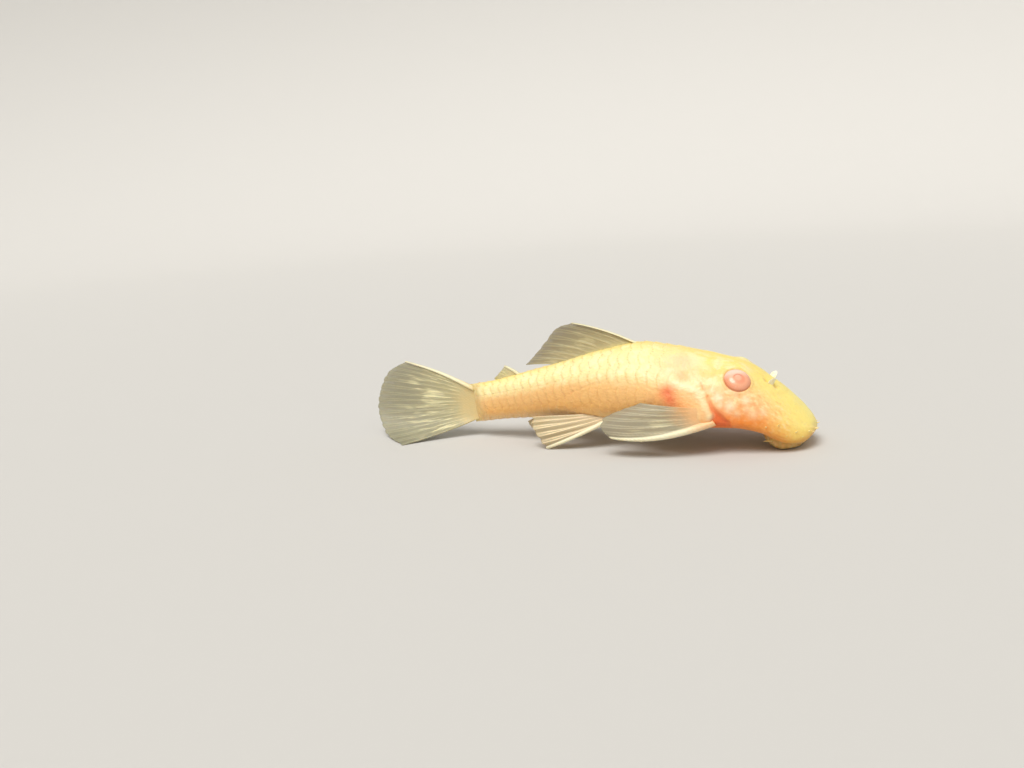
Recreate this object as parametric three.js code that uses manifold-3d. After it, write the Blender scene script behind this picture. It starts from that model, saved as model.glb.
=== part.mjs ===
// A half-grown albino bristlenose catfish at rest on its sucker mouth, pelvic fins and tail fin.
// Millimetres. +X runs towards the head, +Y to the fish's left and +Z up, with the ground at Z = 0.
// A station is a place along the body in percent of the standard length: 0 at the snout, 100 at the tail fin.
import * as THREE from 'three';
import { mergeVertices } from 'three/addons/utils/BufferGeometryUtils.js';
import Module from 'manifold-3d';

const wasm = await Module();
wasm.setup();

// Driving dimensions
const STANDARD_LENGTH = 52;
const SNOUT = { x: 32.4, y: -1.6, z: 2.4 }; // the tip of the snout
const GAP = 0.3; // between neighbouring pieces
const MEMBRANE = 0.5; // thickness of a fin between its rays
const BODY_MIDDLE = -2.8; // across the ground, of the trunk

// Pose: the head points down, the back arches, and the tail comes down again and bends to the fish's left.
const BEND_HEIGHT = 4.4; // of the line in the body that it bends about, above the belly line
const HEAD_PITCH = 11.5; // degrees, nose down
const TAIL_PITCH = -6.6;
const HEAD_YAW = 4;
const TAIL_YAW = -7;

const percent = share => share * STANDARD_LENGTH / 100;
const radians = degrees => degrees * Math.PI / 180;
const lerp = (a, b, t) => a + (b - a) * t;
const clamp = (x, low, high) => Math.min(Math.max(x, low), high);
const ease = (from, to, x) => {
  const t = clamp((x - from) / (to - from), 0, 1);
  return t * t * (3 - 2 * t);
};

const UP = new THREE.Vector3(0, 0, 1);

// A smooth curve through pairs of [place, value] that doesn't overshoot them.
function curveThrough(pairs) {
  const x = pairs.map(p => p[0]);
  const y = pairs.map(p => p[1]);
  const slopes = x.slice(1).map((xi, i) => (y[i + 1] - y[i]) / (xi - x[i]));
  const tangents = x.map((_, i) => {
    const before = slopes[Math.max(i - 1, 0)];
    const after = slopes[Math.min(i, slopes.length - 1)];
    return before * after <= 0 ? 0 : 2 * before * after / (before + after);
  });
  return at => {
    let i = 0;
    while (i < x.length - 2 && at > x[i + 1]) i++;
    const h = x[i + 1] - x[i];
    const t = clamp((at - x[i]) / h, 0, 1);
    const rise = (1 - t) * (1 - t);
    return y[i] * (1 + 2 * t) * rise + tangents[i] * h * t * rise
      + y[i + 1] * t * t * (3 - 2 * t) + tangents[i + 1] * h * t * t * (t - 1);
  };
}

// A body measure in percent of the standard length. The square root rounds the snout's tip.
function measure(pairs) {
  const curve = curveThrough(pairs.map(([station, value]) => [Math.sqrt(station), value]));
  return station => percent(curve(Math.sqrt(station)));
}

const halfWidth = measure([[0, 0], [3, 9.2], [10, 13.1], [23, 15.5], [31, 16], [38, 15.2], [47, 13],
  [58, 10.2], [69, 7.4], [79, 5.2], [88, 3.8], [100, 2.6]]);
const topHeight = measure([[0, 5], [3, 9.1], [7, 12], [10, 13.8], [16, 16.8], [23, 18.9], [31, 19.4],
  [40, 19.8], [47, 20.4], [58, 18.6], [69, 16.2], [79, 14.7], [88, 13.3], [94, 12.6], [100, 12.4]]);
const bellyHeight = measure([[0, 5], [1, 2.4], [3, 0.9], [6, 0.5], [10, 1], [14, 2.2], [19, 2.5], [24, 1.7],
  [32, 0.3], [46, -0.8], [56, -0.6], [69, 0.6], [79, 1.2], [90, 1.5], [100, 1.1]]);
const widestShare = curveThrough([[0, 0.5], [6, 0.26], [30, 0.24], [50, 0.38], [75, 0.5], [100, 0.5]]);
const topPower = curveThrough([[0, 2], [25, 2.1], [50, 2.05], [75, 2.2], [100, 2.3]]);
const bellyPower = curveThrough([[0, 2], [8, 3], [35, 3.2], [60, 2.6], [100, 2.3]]);

// Directions at a station: towards the head, to the fish's left, and up out of its back.
function directionsAt(station) {
  const pitch = radians(HEAD_PITCH * (1 - ease(30, 52, station)) + TAIL_PITCH * ease(46, 74, station));
  const yaw = radians(lerp(HEAD_YAW, TAIL_YAW, ease(34, 96, station)));
  const forward = new THREE.Vector3(
    Math.cos(pitch) * Math.cos(yaw), Math.cos(pitch) * Math.sin(yaw), -Math.sin(pitch));
  const left = new THREE.Vector3(-Math.sin(yaw), Math.cos(yaw), 0);
  return { forward, left, up: forward.clone().cross(left) };
}

// The line that the body bends about, walked tailward from the snout in small steps.
const STEPS_PER_PERCENT = 5;
const bendLine = [new THREE.Vector3(SNOUT.x, SNOUT.y, SNOUT.z)
  .addScaledVector(directionsAt(0).up, BEND_HEIGHT - topHeight(0))];
for (let i = 0; i < 100 * STEPS_PER_PERCENT; i++) {
  const { forward } = directionsAt(i / STEPS_PER_PERCENT);
  bendLine.push(bendLine[i].clone().addScaledVector(forward, -percent(1 / STEPS_PER_PERCENT)));
}

// The point at a station, so far to the left of the body's middle and so high above its belly line.
function place(station, left, height) {
  const at = station * STEPS_PER_PERCENT;
  const i = clamp(Math.floor(at), 0, bendLine.length - 2);
  const directions = directionsAt(station);
  return bendLine[i].clone().lerp(bendLine[i + 1], at - i)
    .addScaledVector(directions.left, left)
    .addScaledVector(directions.up, height - BEND_HEIGHT);
}

// Plates: rows down each side, columns from the head to the tail fin, each raised at its rear edge.
const PLATE_ROWS = 5;
const PLATE_COLUMNS = 24;
const FIRST_PLATE = 37;
const PLATE_STEP = 0.24; // how far a plate's rear edge stands over the next plate
const PLATE_BULGE = 0.9; // percent that the middle of a plate's rear edge reaches further back
const SEAM_DEPTH = 0.1; // of the groove between two rows
const BELLY_COLUMNS = 3;
const HEAD_RINGS = 21;
const plateLength = (100 - FIRST_PLATE) / PLATE_COLUMNS;

// Where a row coordinate lies round the section: 0 is the middle of the back and 1 the middle of the belly.
// Rows 0 to 5 are plated, and 5 to 6 is the naked belly, which closes behind the anal fin.
function roundShare(row, station) {
  const plated = lerp(0.68, 0.985, ease(56, 76, station));
  return row <= PLATE_ROWS ? plated * row / PLATE_ROWS : lerp(plated, 1, row - PLATE_ROWS);
}

// A point of the smooth body at a station and a share round its section, in body measures.
function sectionPoint(station, share, side) {
  const top = topHeight(station);
  const belly = bellyHeight(station);
  const widest = lerp(belly, top, widestShare(station));
  const turn = share * Math.PI;
  const upper = turn < Math.PI / 2;
  const power = 2 / (upper ? topPower(station) : bellyPower(station));
  const rise = (upper ? top - widest : belly - widest) * Math.abs(Math.cos(turn)) ** power;
  return { left: side * halfWidth(station) * Math.sin(turn) ** power, height: widest + rise };
}

// The shoulder's bony plate stands a little proud, low on the side behind the gill slit.
const SHOULDER_HEIGHT = 0.3;

function shoulderRelief(station, share) {
  const along = ease(22, 27, station) * (1 - ease(30, 39, station));
  const round = ease(0.36, 0.5, share) * (1 - ease(0.56, 0.66, share));
  return SHOULDER_HEIGHT * along * round;
}

function surface(station, share, side) {
  const at = sectionPoint(station, clamp(share, 0, 1), side);
  return place(station, at.left + side * shoulderRelief(station, share), at.height);
}

// The outward direction of the smooth body, from its slopes along and round it.
function outward(station, share, side) {
  const reach = 0.004;
  const s = clamp(station, 0.4, 99.6);
  const v = clamp(share, reach, 1 - reach);
  const along = surface(s + 0.2, v, side).sub(surface(s - 0.2, v, side));
  const round = surface(s, v + reach, side).sub(surface(s, v - reach, side));
  return along.cross(round).normalize().multiplyScalar(-side);
}

// The body's rings, each a station and how proud the plates stand there: 0 at their front, 1 at their rear.
function bodyRings() {
  const rings = [];
  const first = 0.1;
  const last = FIRST_PLATE - 1.2;
  for (let i = 0; i < HEAD_RINGS; i++) {
    const root = lerp(Math.sqrt(first), Math.sqrt(last), i / (HEAD_RINGS - 1)); // closer rings at the snout
    rings.push({ station: root ** 2, proud: 0, plated: 0 });
  }
  for (let i = 0; i < PLATE_COLUMNS; i++) {
    const front = FIRST_PLATE + i * plateLength;
    rings.push({ station: front + 0.12 * plateLength, proud: 0, plated: 1 });
    rings.push({ station: front + 0.97 * plateLength, proud: 1, plated: 1 });
  }
  return rings;
}

// Row coordinates of the vertices down one side, each with how much of a plate is there: 0 on a seam.
function rowPlaces() {
  const places = [];
  for (let row = 0; row < PLATE_ROWS; row++) {
    places.push({ row, plate: 0 }, { row: row + 0.28, plate: 1 }, { row: row + 0.72, plate: 1 });
  }
  for (let i = 0; i <= BELLY_COLUMNS; i++) {
    places.push({ row: PLATE_ROWS + i / BELLY_COLUMNS, plate: 0 });
  }
  return places;
}

// A closed surface as a solid, with its triangles turned round if they faced inwards.
function solidFrom(vertices, triangles) {
  const vertProperties = new Float32Array(vertices.flatMap(p => [p.x, p.y, p.z]));
  const build = triVerts => new wasm.Manifold(new wasm.Mesh({ numProp: 3, vertProperties, triVerts }));
  const made = build(new Uint32Array(triangles));
  if (made.volume() > 0) return made;
  const turned = [0, 2, 1];
  return build(new Uint32Array(triangles).map((_, i) => triangles[i - i % 3 + turned[i % 3]]));
}

// Closed loops of equal length joined in order, each end closed by a fan to its own middle point.
function loft(loops, firstPoint, lastPoint) {
  const count = loops[0].length;
  const vertices = [...loops.flat(), firstPoint, lastPoint];
  const triangles = [];
  const vertex = (loop, i) => loop * count + (i % count);
  for (let loop = 0; loop < loops.length - 1; loop++) {
    for (let i = 0; i < count; i++) {
      const a = vertex(loop, i);
      const b = vertex(loop, i + 1);
      const c = vertex(loop + 1, i + 1);
      const d = vertex(loop + 1, i);
      triangles.push(a, b, c, a, c, d);
    }
  }
  const first = loops.length * count;
  for (let i = 0; i < count; i++) {
    triangles.push(first, vertex(0, i + 1), vertex(0, i));
    triangles.push(first + 1, vertex(loops.length - 1, i), vertex(loops.length - 1, i + 1));
  }
  return solidFrom(vertices, triangles);
}

// The whole body from snout to tail fin, grown outwards so that what grows from it can be cut clear.
function bodySolid(grow) {
  const places = rowPlaces();
  const down = places.map(p => ({ ...p, side: -1 }));
  const back = places.slice(1, -1).reverse().map(p => ({ ...p, side: 1 }));
  const loops = bodyRings().map(ring => [...down, ...back].map(({ row, plate, side }) => {
    const station = ring.station - (plate ? 0 : ring.plated * PLATE_BULGE);
    const share = roundShare(row, station);
    const seam = ring.plated * (row <= PLATE_ROWS ? SEAM_DEPTH : 0);
    const relief = plate ? ring.proud * PLATE_STEP : -seam;
    return surface(station, share, side).addScaledVector(outward(station, share, side), relief + grow);
  }));
  const snout = place(0, 0, topHeight(0)).addScaledVector(directionsAt(0).forward, grow);
  const tail = place(100, 0, lerp(bellyHeight(100), topHeight(100), 0.5))
    .addScaledVector(directionsAt(100).forward, -grow);
  return loft(loops, snout, tail);
}

// Cuts a solid by a plane and keeps what is ahead of it.
function halfSpace(solid, normal, point) {
  const n = normal.clone().normalize();
  return solid.trimByPlane([n.x, n.y, n.z], n.dot(point));
}

// Keeps a solid's largest closed surface, which also fills any hollow sealed inside it.
function largest(solid) {
  return solid.decompose().reduce((best, next) => (next.volume() > best.volume() ? next : best));
}

// Cuts off flat what would reach under the ground.
function aboveGround(solid) {
  return largest(halfSpace(solid, UP, new THREE.Vector3()));
}

// A three.js geometry, moved to its place, as a solid.
function solidOf(geometry, matrix = new THREE.Matrix4()) {
  const bare = geometry.index ? geometry.toNonIndexed() : geometry.clone();
  bare.deleteAttribute('normal');
  bare.deleteAttribute('uv');
  const merged = mergeVertices(bare.applyMatrix4(matrix), 1e-4);
  const at = merged.attributes.position;
  const vertices = Array.from({ length: at.count }, (_, i) => new THREE.Vector3().fromBufferAttribute(at, i));
  return solidFrom(vertices, [...merged.index.array]);
}

// A matrix that puts a shape's own Y along a direction, and its X as near as can be to another.
function aim(point, along, across) {
  const y = along.clone().normalize();
  const z = across.clone().cross(y).normalize();
  const x = y.clone().cross(z);
  return new THREE.Matrix4().makeBasis(x, y, z).setPosition(point);
}

// Both sides of a thin cut through a solid.
function part(solid, normal, point) {
  const n = normal.clone().normalize();
  const ahead = halfSpace(solid, n, point.clone().addScaledVector(n, GAP / 2));
  const behind = halfSpace(solid, n.clone().negate(), point.clone().addScaledVector(n, -GAP / 2));
  return [largest(ahead), largest(behind)];
}

const body = bodySolid(0);
const bodyAndGap = bodySolid(GAP);

// Eye
const EYE_STATION = 22.2;
const EYE_SHARE = 0.238; // round the section, from the middle of the back
const EYE_RADIUS = 1.95;
const EYE_DEPTH = 1.5; // half of the eyeball's thickness from front to back
const EYE_SINK = 0.55; // of its middle under the skin
const RIM_THICKNESS = 0.36;
const RIM_CLEARANCE = 0.12; // between the rim's middle and the eyeball's edge, and how far the rim is sunk

function eyeFrame(side) {
  const out = outward(EYE_STATION, EYE_SHARE, side);
  const point = surface(EYE_STATION, EYE_SHARE, side);
  return { out, middle: point.clone().addScaledVector(out, -EYE_SINK), point };
}

function eyeSolid(side, grow) {
  const { out, middle } = eyeFrame(side);
  const ball = new THREE.SphereGeometry(1, 20, 12)
    .scale(EYE_RADIUS + grow, EYE_DEPTH + grow, EYE_RADIUS + grow);
  return solidOf(ball, aim(middle, out, UP));
}

function eyeRim(side) {
  const { out, point } = eyeFrame(side);
  const ring = new THREE.TorusGeometry(EYE_RADIUS + RIM_CLEARANCE, RIM_THICKNESS, 6, 22).rotateX(Math.PI / 2);
  return solidOf(ring, aim(point.addScaledVector(out, -RIM_CLEARANCE), out, UP));
}

// A cone of some thickness, width and length, with its base sunk under the surface that it grows from.
function horn({ point, lean, across, length, thick, wide, sink, sides }) {
  const cone = new THREE.ConeGeometry(1, length + sink, sides, 1)
    .scale(thick, 1, wide)
    .translate(0, (length - sink) / 2, 0);
  return solidOf(cone, aim(point, lean, across));
}

// Nostrils: two pits on each side, with a raised flap of skin between them.
const NOSTRIL_STATION = 13.6;
const NOSTRIL_SHARE = 0.105;
const FLAP = { length: 1.5, thick: 0.3, wide: 0.62, sink: 0.8, sides: 8 };
const PIT_RADIUS = 0.46;
const PIT_SPREAD = 1.35; // percent from the flap to each pit

function nostrilFlap(side) {
  const point = surface(NOSTRIL_STATION, NOSTRIL_SHARE, side);
  const { forward } = directionsAt(NOSTRIL_STATION);
  const lean = outward(NOSTRIL_STATION, NOSTRIL_SHARE, side).addScaledVector(forward, 0.12);
  return horn({ ...FLAP, point, lean, across: forward });
}

function nostrilPits(side) {
  return [-1, 1].map(way => {
    const pit = surface(NOSTRIL_STATION + way * PIT_SPREAD, NOSTRIL_SHARE, side);
    return solidOf(new THREE.SphereGeometry(PIT_RADIUS, 8, 6), new THREE.Matrix4().setPosition(pit));
  });
}

// Bristles: short soft tentacles in two close rows along the margin of the snout.
const BRISTLES_A_SIDE = 9;
const BRISTLE = { thick: 0.27, wide: 0.27, sink: 0.5, sides: 5 };
const BRISTLE_LENGTH = 0.75;
const BRISTLE_STATIONS = [0.35, 12.8];
const BRISTLE_SHARES = [0.5, 0.44];

function bristles(side) {
  return Array.from({ length: BRISTLES_A_SIDE }, (_, i) => {
    const station = lerp(...BRISTLE_STATIONS, (i / (BRISTLES_A_SIDE - 1)) ** 2);
    const share = BRISTLE_SHARES[i % 2];
    const point = surface(station, share, side);
    const lean = outward(station, share, side).addScaledVector(directionsAt(0).up, 0.25);
    const length = BRISTLE_LENGTH * (1 + 0.25 * Math.sin(3.1 * i + side)); // no two neighbours alike
    return horn({ ...BRISTLE, point, lean, across: UP, length });
  });
}

// Gill cover: a plate low on the cheek, just ahead of the gill slit.
const SLIT_TOP = { station: 36.5, height: 10 };
const SLIT_FOOT = { station: 24, height: 0 };
const COVER_INNER = 5.4; // how far from the body's middle the plate's inner face is
const COVER_DEPTH = 8;
// Corners of the plate, each a station and a height
const COVER_OUTLINE = [[22.8, 1.6], [24.8, 1.7], [28.6, 4.5], [29.2, 5.6], [26.8, 5.8], [23.8, 3.8]];

function slitPlane() {
  const top = place(SLIT_TOP.station, 0, SLIT_TOP.height);
  const foot = place(SLIT_FOOT.station, 0, SLIT_FOOT.height);
  const { left } = directionsAt(SLIT_FOOT.station);
  return { normal: top.clone().sub(foot).cross(left).negate().normalize(), point: foot };
}

function coverPrism(side, grow) {
  const corners = COVER_OUTLINE.map(([station, height]) => new THREE.Vector3(percent(station), height, 0));
  const middle = corners
    .reduce((sum, corner) => sum.add(corner), new THREE.Vector3())
    .divideScalar(corners.length);
  const grown = corners.map(corner => {
    const away = corner.clone().sub(middle);
    return away.setLength(away.length() + 1.5 * grow).add(middle);
  });
  const outline = new THREE.CatmullRomCurve3(grown, true).getPoints(18).slice(0, -1);
  const shape = new THREE.Shape(outline);
  const prism = new THREE.ExtrudeGeometry(shape, { depth: COVER_DEPTH, bevelEnabled: false });
  const { forward, left, up } = directionsAt(0);
  const frame = new THREE.Matrix4()
    .makeBasis(forward.clone().negate(), up, left.clone().multiplyScalar(side))
    .setPosition(place(0, side * (COVER_INNER - grow), 0));
  return solidOf(prism, frame);
}

// Mouth: a sucker disc of soft lips, flat on the ground, with a short barbel at each corner.
const DISC_STATION = 7.9;
const DISC_LENGTH = 5.9;
const DISC_WIDTH = 8.6;
const DISC_TOP = 4; // before it is cut to fit the underside of the head
const DISC_SIDES = 28;
const MOUTH_SHARE = 0.42; // of the disc that the opening takes
const MOUTH_DEPTH = 0.7;
const UNDERCUT = -0.08; // below the ground, and cut away to make the flat
const JAW = { length: 2.2, thick: 0.5, drop: 0.4, spacing: 0.85 }; // two bars that carry the teeth
const BARBEL = { length: 2.2, thick: 0.34, wide: 0.34, sink: 1, sides: 6 };
const BARBEL_ROOT = { out: 3.7, back: 1.3, up: 0.95 };
const discMiddle = place(DISC_STATION, 0, 0);

// An oval round the middle of the disc, at a height, with its rear edge lifted.
function discRing(share, z, lift) {
  const { forward, left } = directionsAt(0);
  return Array.from({ length: DISC_SIDES }, (_, i) => {
    const turn = 2 * Math.PI * i / DISC_SIDES;
    const rear = Math.max(-Math.cos(turn), 0);
    return discMiddle.clone()
      .addScaledVector(forward, Math.cos(turn) * share * DISC_LENGTH / 2)
      .addScaledVector(left, Math.sin(turn) * share * DISC_WIDTH / 2)
      .setZ(z + lift * rear * rear);
  });
}

function barbel(side) {
  const { forward, left } = directionsAt(0);
  const point = discMiddle.clone().setZ(BARBEL_ROOT.up)
    .addScaledVector(left, side * BARBEL_ROOT.out)
    .addScaledVector(forward, -BARBEL_ROOT.back);
  const lean = left.clone().multiplyScalar(side).addScaledVector(forward, -0.75);
  return horn({ ...BARBEL, point, lean, across: UP });
}

function jaw(way) {
  const { forward, left } = directionsAt(0);
  const middle = discMiddle.clone().setZ(MOUTH_DEPTH).addScaledVector(forward, way * JAW.spacing / 2);
  const bar = new THREE.SphereGeometry(1, 12, 8).scale(JAW.length / 2, JAW.drop, JAW.thick / 2);
  return solidOf(bar, aim(middle, UP, left));
}

function mouthSolid() {
  const loops = [
    discRing(0.86, DISC_TOP, 0),
    discRing(0.95, 1.2, 1.6),
    discRing(1, 0.55, 1.7),
    discRing(0.97, 0.15, 1.5),
    discRing(0.88, UNDERCUT, 1.1),
    discRing(MOUTH_SHARE + 0.12, UNDERCUT, 0.3),
    discRing(MOUTH_SHARE, 0.15, 0.1),
    discRing(MOUTH_SHARE * 0.7, MOUTH_DEPTH, 0),
  ];
  const pad = loft(loops, discMiddle.clone().setZ(DISC_TOP), discMiddle.clone().setZ(MOUTH_DEPTH));
  const joined = wasm.Manifold.union([pad, barbel(-1), barbel(1), jaw(-1), jaw(1)]);
  return aboveGround(joined.subtract(bodyAndGap));
}

// Fins. A fin is a fan of rays, and rows of points run along the rays. Each face stands off the middle by
// half of a thickness that is greater at a ray.
const FIN_ROWS = 8;
const FIN_EDGE = 0.3; // thinnest, at the tips
const RAY_THICKNESS = [0.95, 0.75]; // of the first and last soft ray

// Columns of points across a fin: its place from the front ray, 0, to the last, 1, and its thickness there.
function finColumns(rays, spine) {
  const spread = 1 / (rays - 1);
  const columns = [{ t: 0, thick: spine * 0.55 }, { t: 0.16 * spread, thick: spine },
    { t: 0.5 * spread, thick: MEMBRANE }];
  for (let i = 1; i < rays; i++) {
    columns.push({ t: i * spread, thick: lerp(...RAY_THICKNESS, i / rays) });
    if (i < rays - 1) columns.push({ t: (i + 0.5) * spread, thick: MEMBRANE });
  }
  return columns;
}

// rays: how many. spine: thickness of the front one. keys: rays evenly spread from the front one to the last,
// each with its root, its tip and how far it bows from the straight line between them.
function finSolid({ rays, spine, keys }) {
  const columns = finColumns(rays, spine);
  const across = key => new THREE.CatmullRomCurve3(keys.map(key));
  const roots = across(({ root }) => root);
  const tips = across(({ tip }) => new THREE.Vector3(...tip));
  const bends = across(({ root, tip, bow }) => root.clone().lerp(new THREE.Vector3(...tip), 0.5)
    .addScaledVector(new THREE.Vector3(...bow), 2));
  const at = (t, a) => roots.getPoint(t).multiplyScalar((1 - a) ** 2)
    .addScaledVector(bends.getPoint(t), 2 * a * (1 - a))
    .addScaledVector(tips.getPoint(t), a * a);
  const reach = 0.01;
  const faces = [1, -1].map(way => columns.map(({ t, thick }, column) => (
    Array.from({ length: FIN_ROWS + 1 }, (_, row) => {
      const a = row / FIN_ROWS;
      const along = at(t, Math.min(a + reach, 1)).sub(at(t, Math.max(a - reach, 0)));
      const over = at(Math.min(t + reach, 1), a).sub(at(Math.max(t - reach, 0), a));
      const out = along.cross(over).normalize();
      const taper = column < 2 ? lerp(1, 0.45, a) : lerp(1, 0.62, a ** 3);
      const edge = row === FIN_ROWS ? 0.6 : 1;
      return at(t, a).addScaledVector(out, way * Math.max(thick * taper * edge, FIN_EDGE) / 2);
    }))));
  return gridSolid(faces);
}

// Two like grids of points joined round their edges into one closed solid, with like triangles on both faces.
function gridSolid([front, back]) {
  const columns = front.length;
  const rows = front[0].length;
  const index = (face, c, r) => face * columns * rows + c * rows + r;
  const triangles = [];
  for (let c = 0; c < columns - 1; c++) {
    for (let r = 0; r < rows - 1; r++) {
      triangles.push(index(0, c, r), index(0, c + 1, r), index(0, c + 1, r + 1));
      triangles.push(index(0, c, r), index(0, c + 1, r + 1), index(0, c, r + 1));
      triangles.push(index(1, c, r), index(1, c + 1, r + 1), index(1, c + 1, r));
      triangles.push(index(1, c, r), index(1, c, r + 1), index(1, c + 1, r + 1));
    }
  }
  const wall = (c0, r0, c1, r1) => triangles.push(
    index(0, c0, r0), index(1, c1, r1), index(1, c0, r0),
    index(0, c0, r0), index(0, c1, r1), index(1, c1, r1));
  for (let c = 0; c < columns - 1; c++) {
    wall(c + 1, 0, c, 0);
    wall(c, rows - 1, c + 1, rows - 1);
  }
  for (let r = 0; r < rows - 1; r++) {
    wall(0, r, 0, r + 1);
    wall(columns - 1, r + 1, columns - 1, r);
  }
  return solidFrom([...front.flat(), ...back.flat()], triangles);
}

// Roots of rays, a little under the skin. Fin tips are given as they are in the pose, with the ground at 0.
const ROOT_DEPTH = 0.7;
const onBack = station => place(station, 0, topHeight(station) - ROOT_DEPTH);
const onBelly = station => place(station, 0, bellyHeight(station) + ROOT_DEPTH);

// The dorsal fin is half folded, and leans back over the trunk.
function dorsalFin() {
  return finSolid({
    rays: 8,
    spine: 1.25,
    keys: [
      { root: onBack(46.5), tip: [-1.8, -2.6, 17.5], bow: [0, 0, 0.5] },
      { root: onBack(52), tip: [-4.4, -2.5, 16.6], bow: [0, 0.2, 0.5] },
      { root: onBack(58), tip: [-6, -2.4, 14.8], bow: [0, 0.3, 0.4] },
      { root: onBack(63.5), tip: [-7.8, -2.5, 12.8], bow: [0, 0.3, 0.3] },
      { root: onBack(69), tip: [-9.3, -2.7, 11.2], bow: [0, 0.1, 0.2] },
    ],
  });
}

// The adipose fin is a short spine with a web behind it.
function adiposeFin() {
  return finSolid({
    rays: 3,
    spine: 1,
    keys: [
      { root: onBack(82), tip: [-12.8, -2.2, 11.1], bow: [0, 0, 0.25] },
      { root: onBack(85.5), tip: [-13.6, -2.2, 10.1], bow: [0, 0, 0.1] },
      { root: onBack(89.5), tip: [-14.6, -2.1, 9.1], bow: [0, 0, 0] },
    ],
  });
}

function analFin() {
  return finSolid({
    rays: 5,
    spine: 1,
    keys: [
      { root: onBelly(73.5), tip: [-7.7, -3, 1.4], bow: [0, 0, -0.2] },
      { root: onBelly(75.5), tip: [-8.9, -2.9, 1.8], bow: [0, 0, -0.2] },
      { root: onBelly(78), tip: [-9.4, -2.8, 2.7], bow: [0, 0, -0.1] },
    ],
  });
}

// A pectoral fin is folded back along the flank, with its strong spine lowest and outermost.
function pectoralFin(side) {
  const at = (x, out, z) => [x, BODY_MIDDLE + side * out, z];
  const root = (station, out, height) => place(station, side * out, height);
  return finSolid({
    rays: 7,
    spine: 1.5,
    keys: [
      { root: root(25.5, 7.6, 1.9), tip: at(6, 9.8, 2.7), bow: [0, side * 1.4, -0.8] },
      { root: root(26.5, 7.9, 2.5), tip: at(4.3, 9.2, 4), bow: [0, side * 1.4, -0.5] },
      { root: root(27.5, 8, 3), tip: at(4.5, 8.7, 5.3), bow: [0, side * 1.4, -0.2] },
      { root: root(28.5, 8, 3.5), tip: at(6.9, 8.4, 6.5), bow: [0, side * 1.4, 0] },
      { root: root(29.5, 7.9, 3.9), tip: at(9.9, 8.2, 7.5), bow: [0, side * 1.3, 0.1] },
    ],
  });
}

// A pelvic fin reaches back and down, and the tip of its spine rests on the ground.
function pelvicFin(side) {
  const spread = side < 0 ? 0 : 0.9; // the left one reaches further out
  const at = (x, out, z) => [x, BODY_MIDDLE + side * (out + spread), z];
  const root = (station, out, height) => place(station, side * out, height);
  return finSolid({
    rays: 6,
    spine: 1.3,
    keys: [
      { root: root(53, 3.6, 0.5), tip: at(-4.7, 6.1, -0.15), bow: [0, side * 0.6, -0.2] },
      { root: root(53.7, 3.5, 0.7), tip: at(-6, 6.1, 1.7), bow: [0, side * 0.6, -0.1] },
      { root: root(54.4, 3.3, 0.9), tip: at(-7, 5.5, 3.3), bow: [0, side * 0.5, 0] },
      { root: root(55.2, 3.1, 1), tip: at(-7.2, 4.4, 4.4), bow: [0, side * 0.4, 0] },
    ],
  });
}

// The tail fin is an open fan. Its lower lobe lies folded on the ground, to the fish's right.
function caudalFin() {
  const root = share => place(98.8, 0, lerp(topHeight(100) - 0.5, bellyHeight(100) + 0.5, share));
  return finSolid({
    rays: 16,
    spine: 1.2,
    keys: [
      { root: root(0), tip: [-29.5, -1.1, 11.6], bow: [0, 0, 0.4] },
      { root: root(0.2), tip: [-32.8, -1, 9.8], bow: [0, 0, 0.3] },
      { root: root(0.4), tip: [-34.7, -1, 6.5], bow: [0, 0, 0] },
      { root: root(0.6), tip: [-34.9, -1.4, 3.4], bow: [0, 0, -0.1] },
      { root: root(0.8), tip: [-32.8, -3.8, 0.8], bow: [0, 0.3, -0.3] },
      { root: root(1), tip: [-27.6, -8.9, -0.1], bow: [0, 0.9, -0.3] },
    ],
  });
}

const material = (color, roughness) => new THREE.MeshStandardMaterial({ color, roughness, metalness: 0 });
const skin = material(0xf6c766, 0.5);
const cheek = material(0xf4a862, 0.5);
const lip = material(0xf3b98a, 0.55);
const fin = material(0xd9d3a2, 0.45);
const eye = material(0xe58b8b, 0.15);

const fish = new THREE.Group();

function add(name, solid, surfaceMaterial) {
  const mesh = solid.getMesh();
  const geometry = new THREE.BufferGeometry()
    .setAttribute('position', new THREE.BufferAttribute(new Float32Array(mesh.vertProperties), 3))
    .setIndex(new THREE.BufferAttribute(new Uint32Array(mesh.triVerts), 1));
  geometry.computeVertexNormals();
  const made = new THREE.Mesh(geometry, surfaceMaterial);
  made.name = name;
  fish.add(made);
}

// A fin is cut clear of the body.
function addFin(name, solid) {
  add(name, aboveGround(solid.subtract(bodyAndGap)), fin);
}

const TAIL_CUT = 72; // station between the trunk and the tail stem
const SIDES = { right: -1, left: 1 };

const slit = slitPlane();
const [bareHead, rest] = part(body, slit.normal, slit.point);
const [trunk, tailStem] = part(rest, directionsAt(TAIL_CUT).forward, place(TAIL_CUT, 0, 0));
const onHead = Object.values(SIDES).flatMap(side => [eyeRim(side), nostrilFlap(side), ...bristles(side)]);
const inHead = Object.values(SIDES).flatMap(side => (
  [eyeSolid(side, GAP), coverPrism(side, GAP), ...nostrilPits(side)]));
const head = wasm.Manifold.union([bareHead, ...onHead]).subtract(wasm.Manifold.union(inHead));

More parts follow.
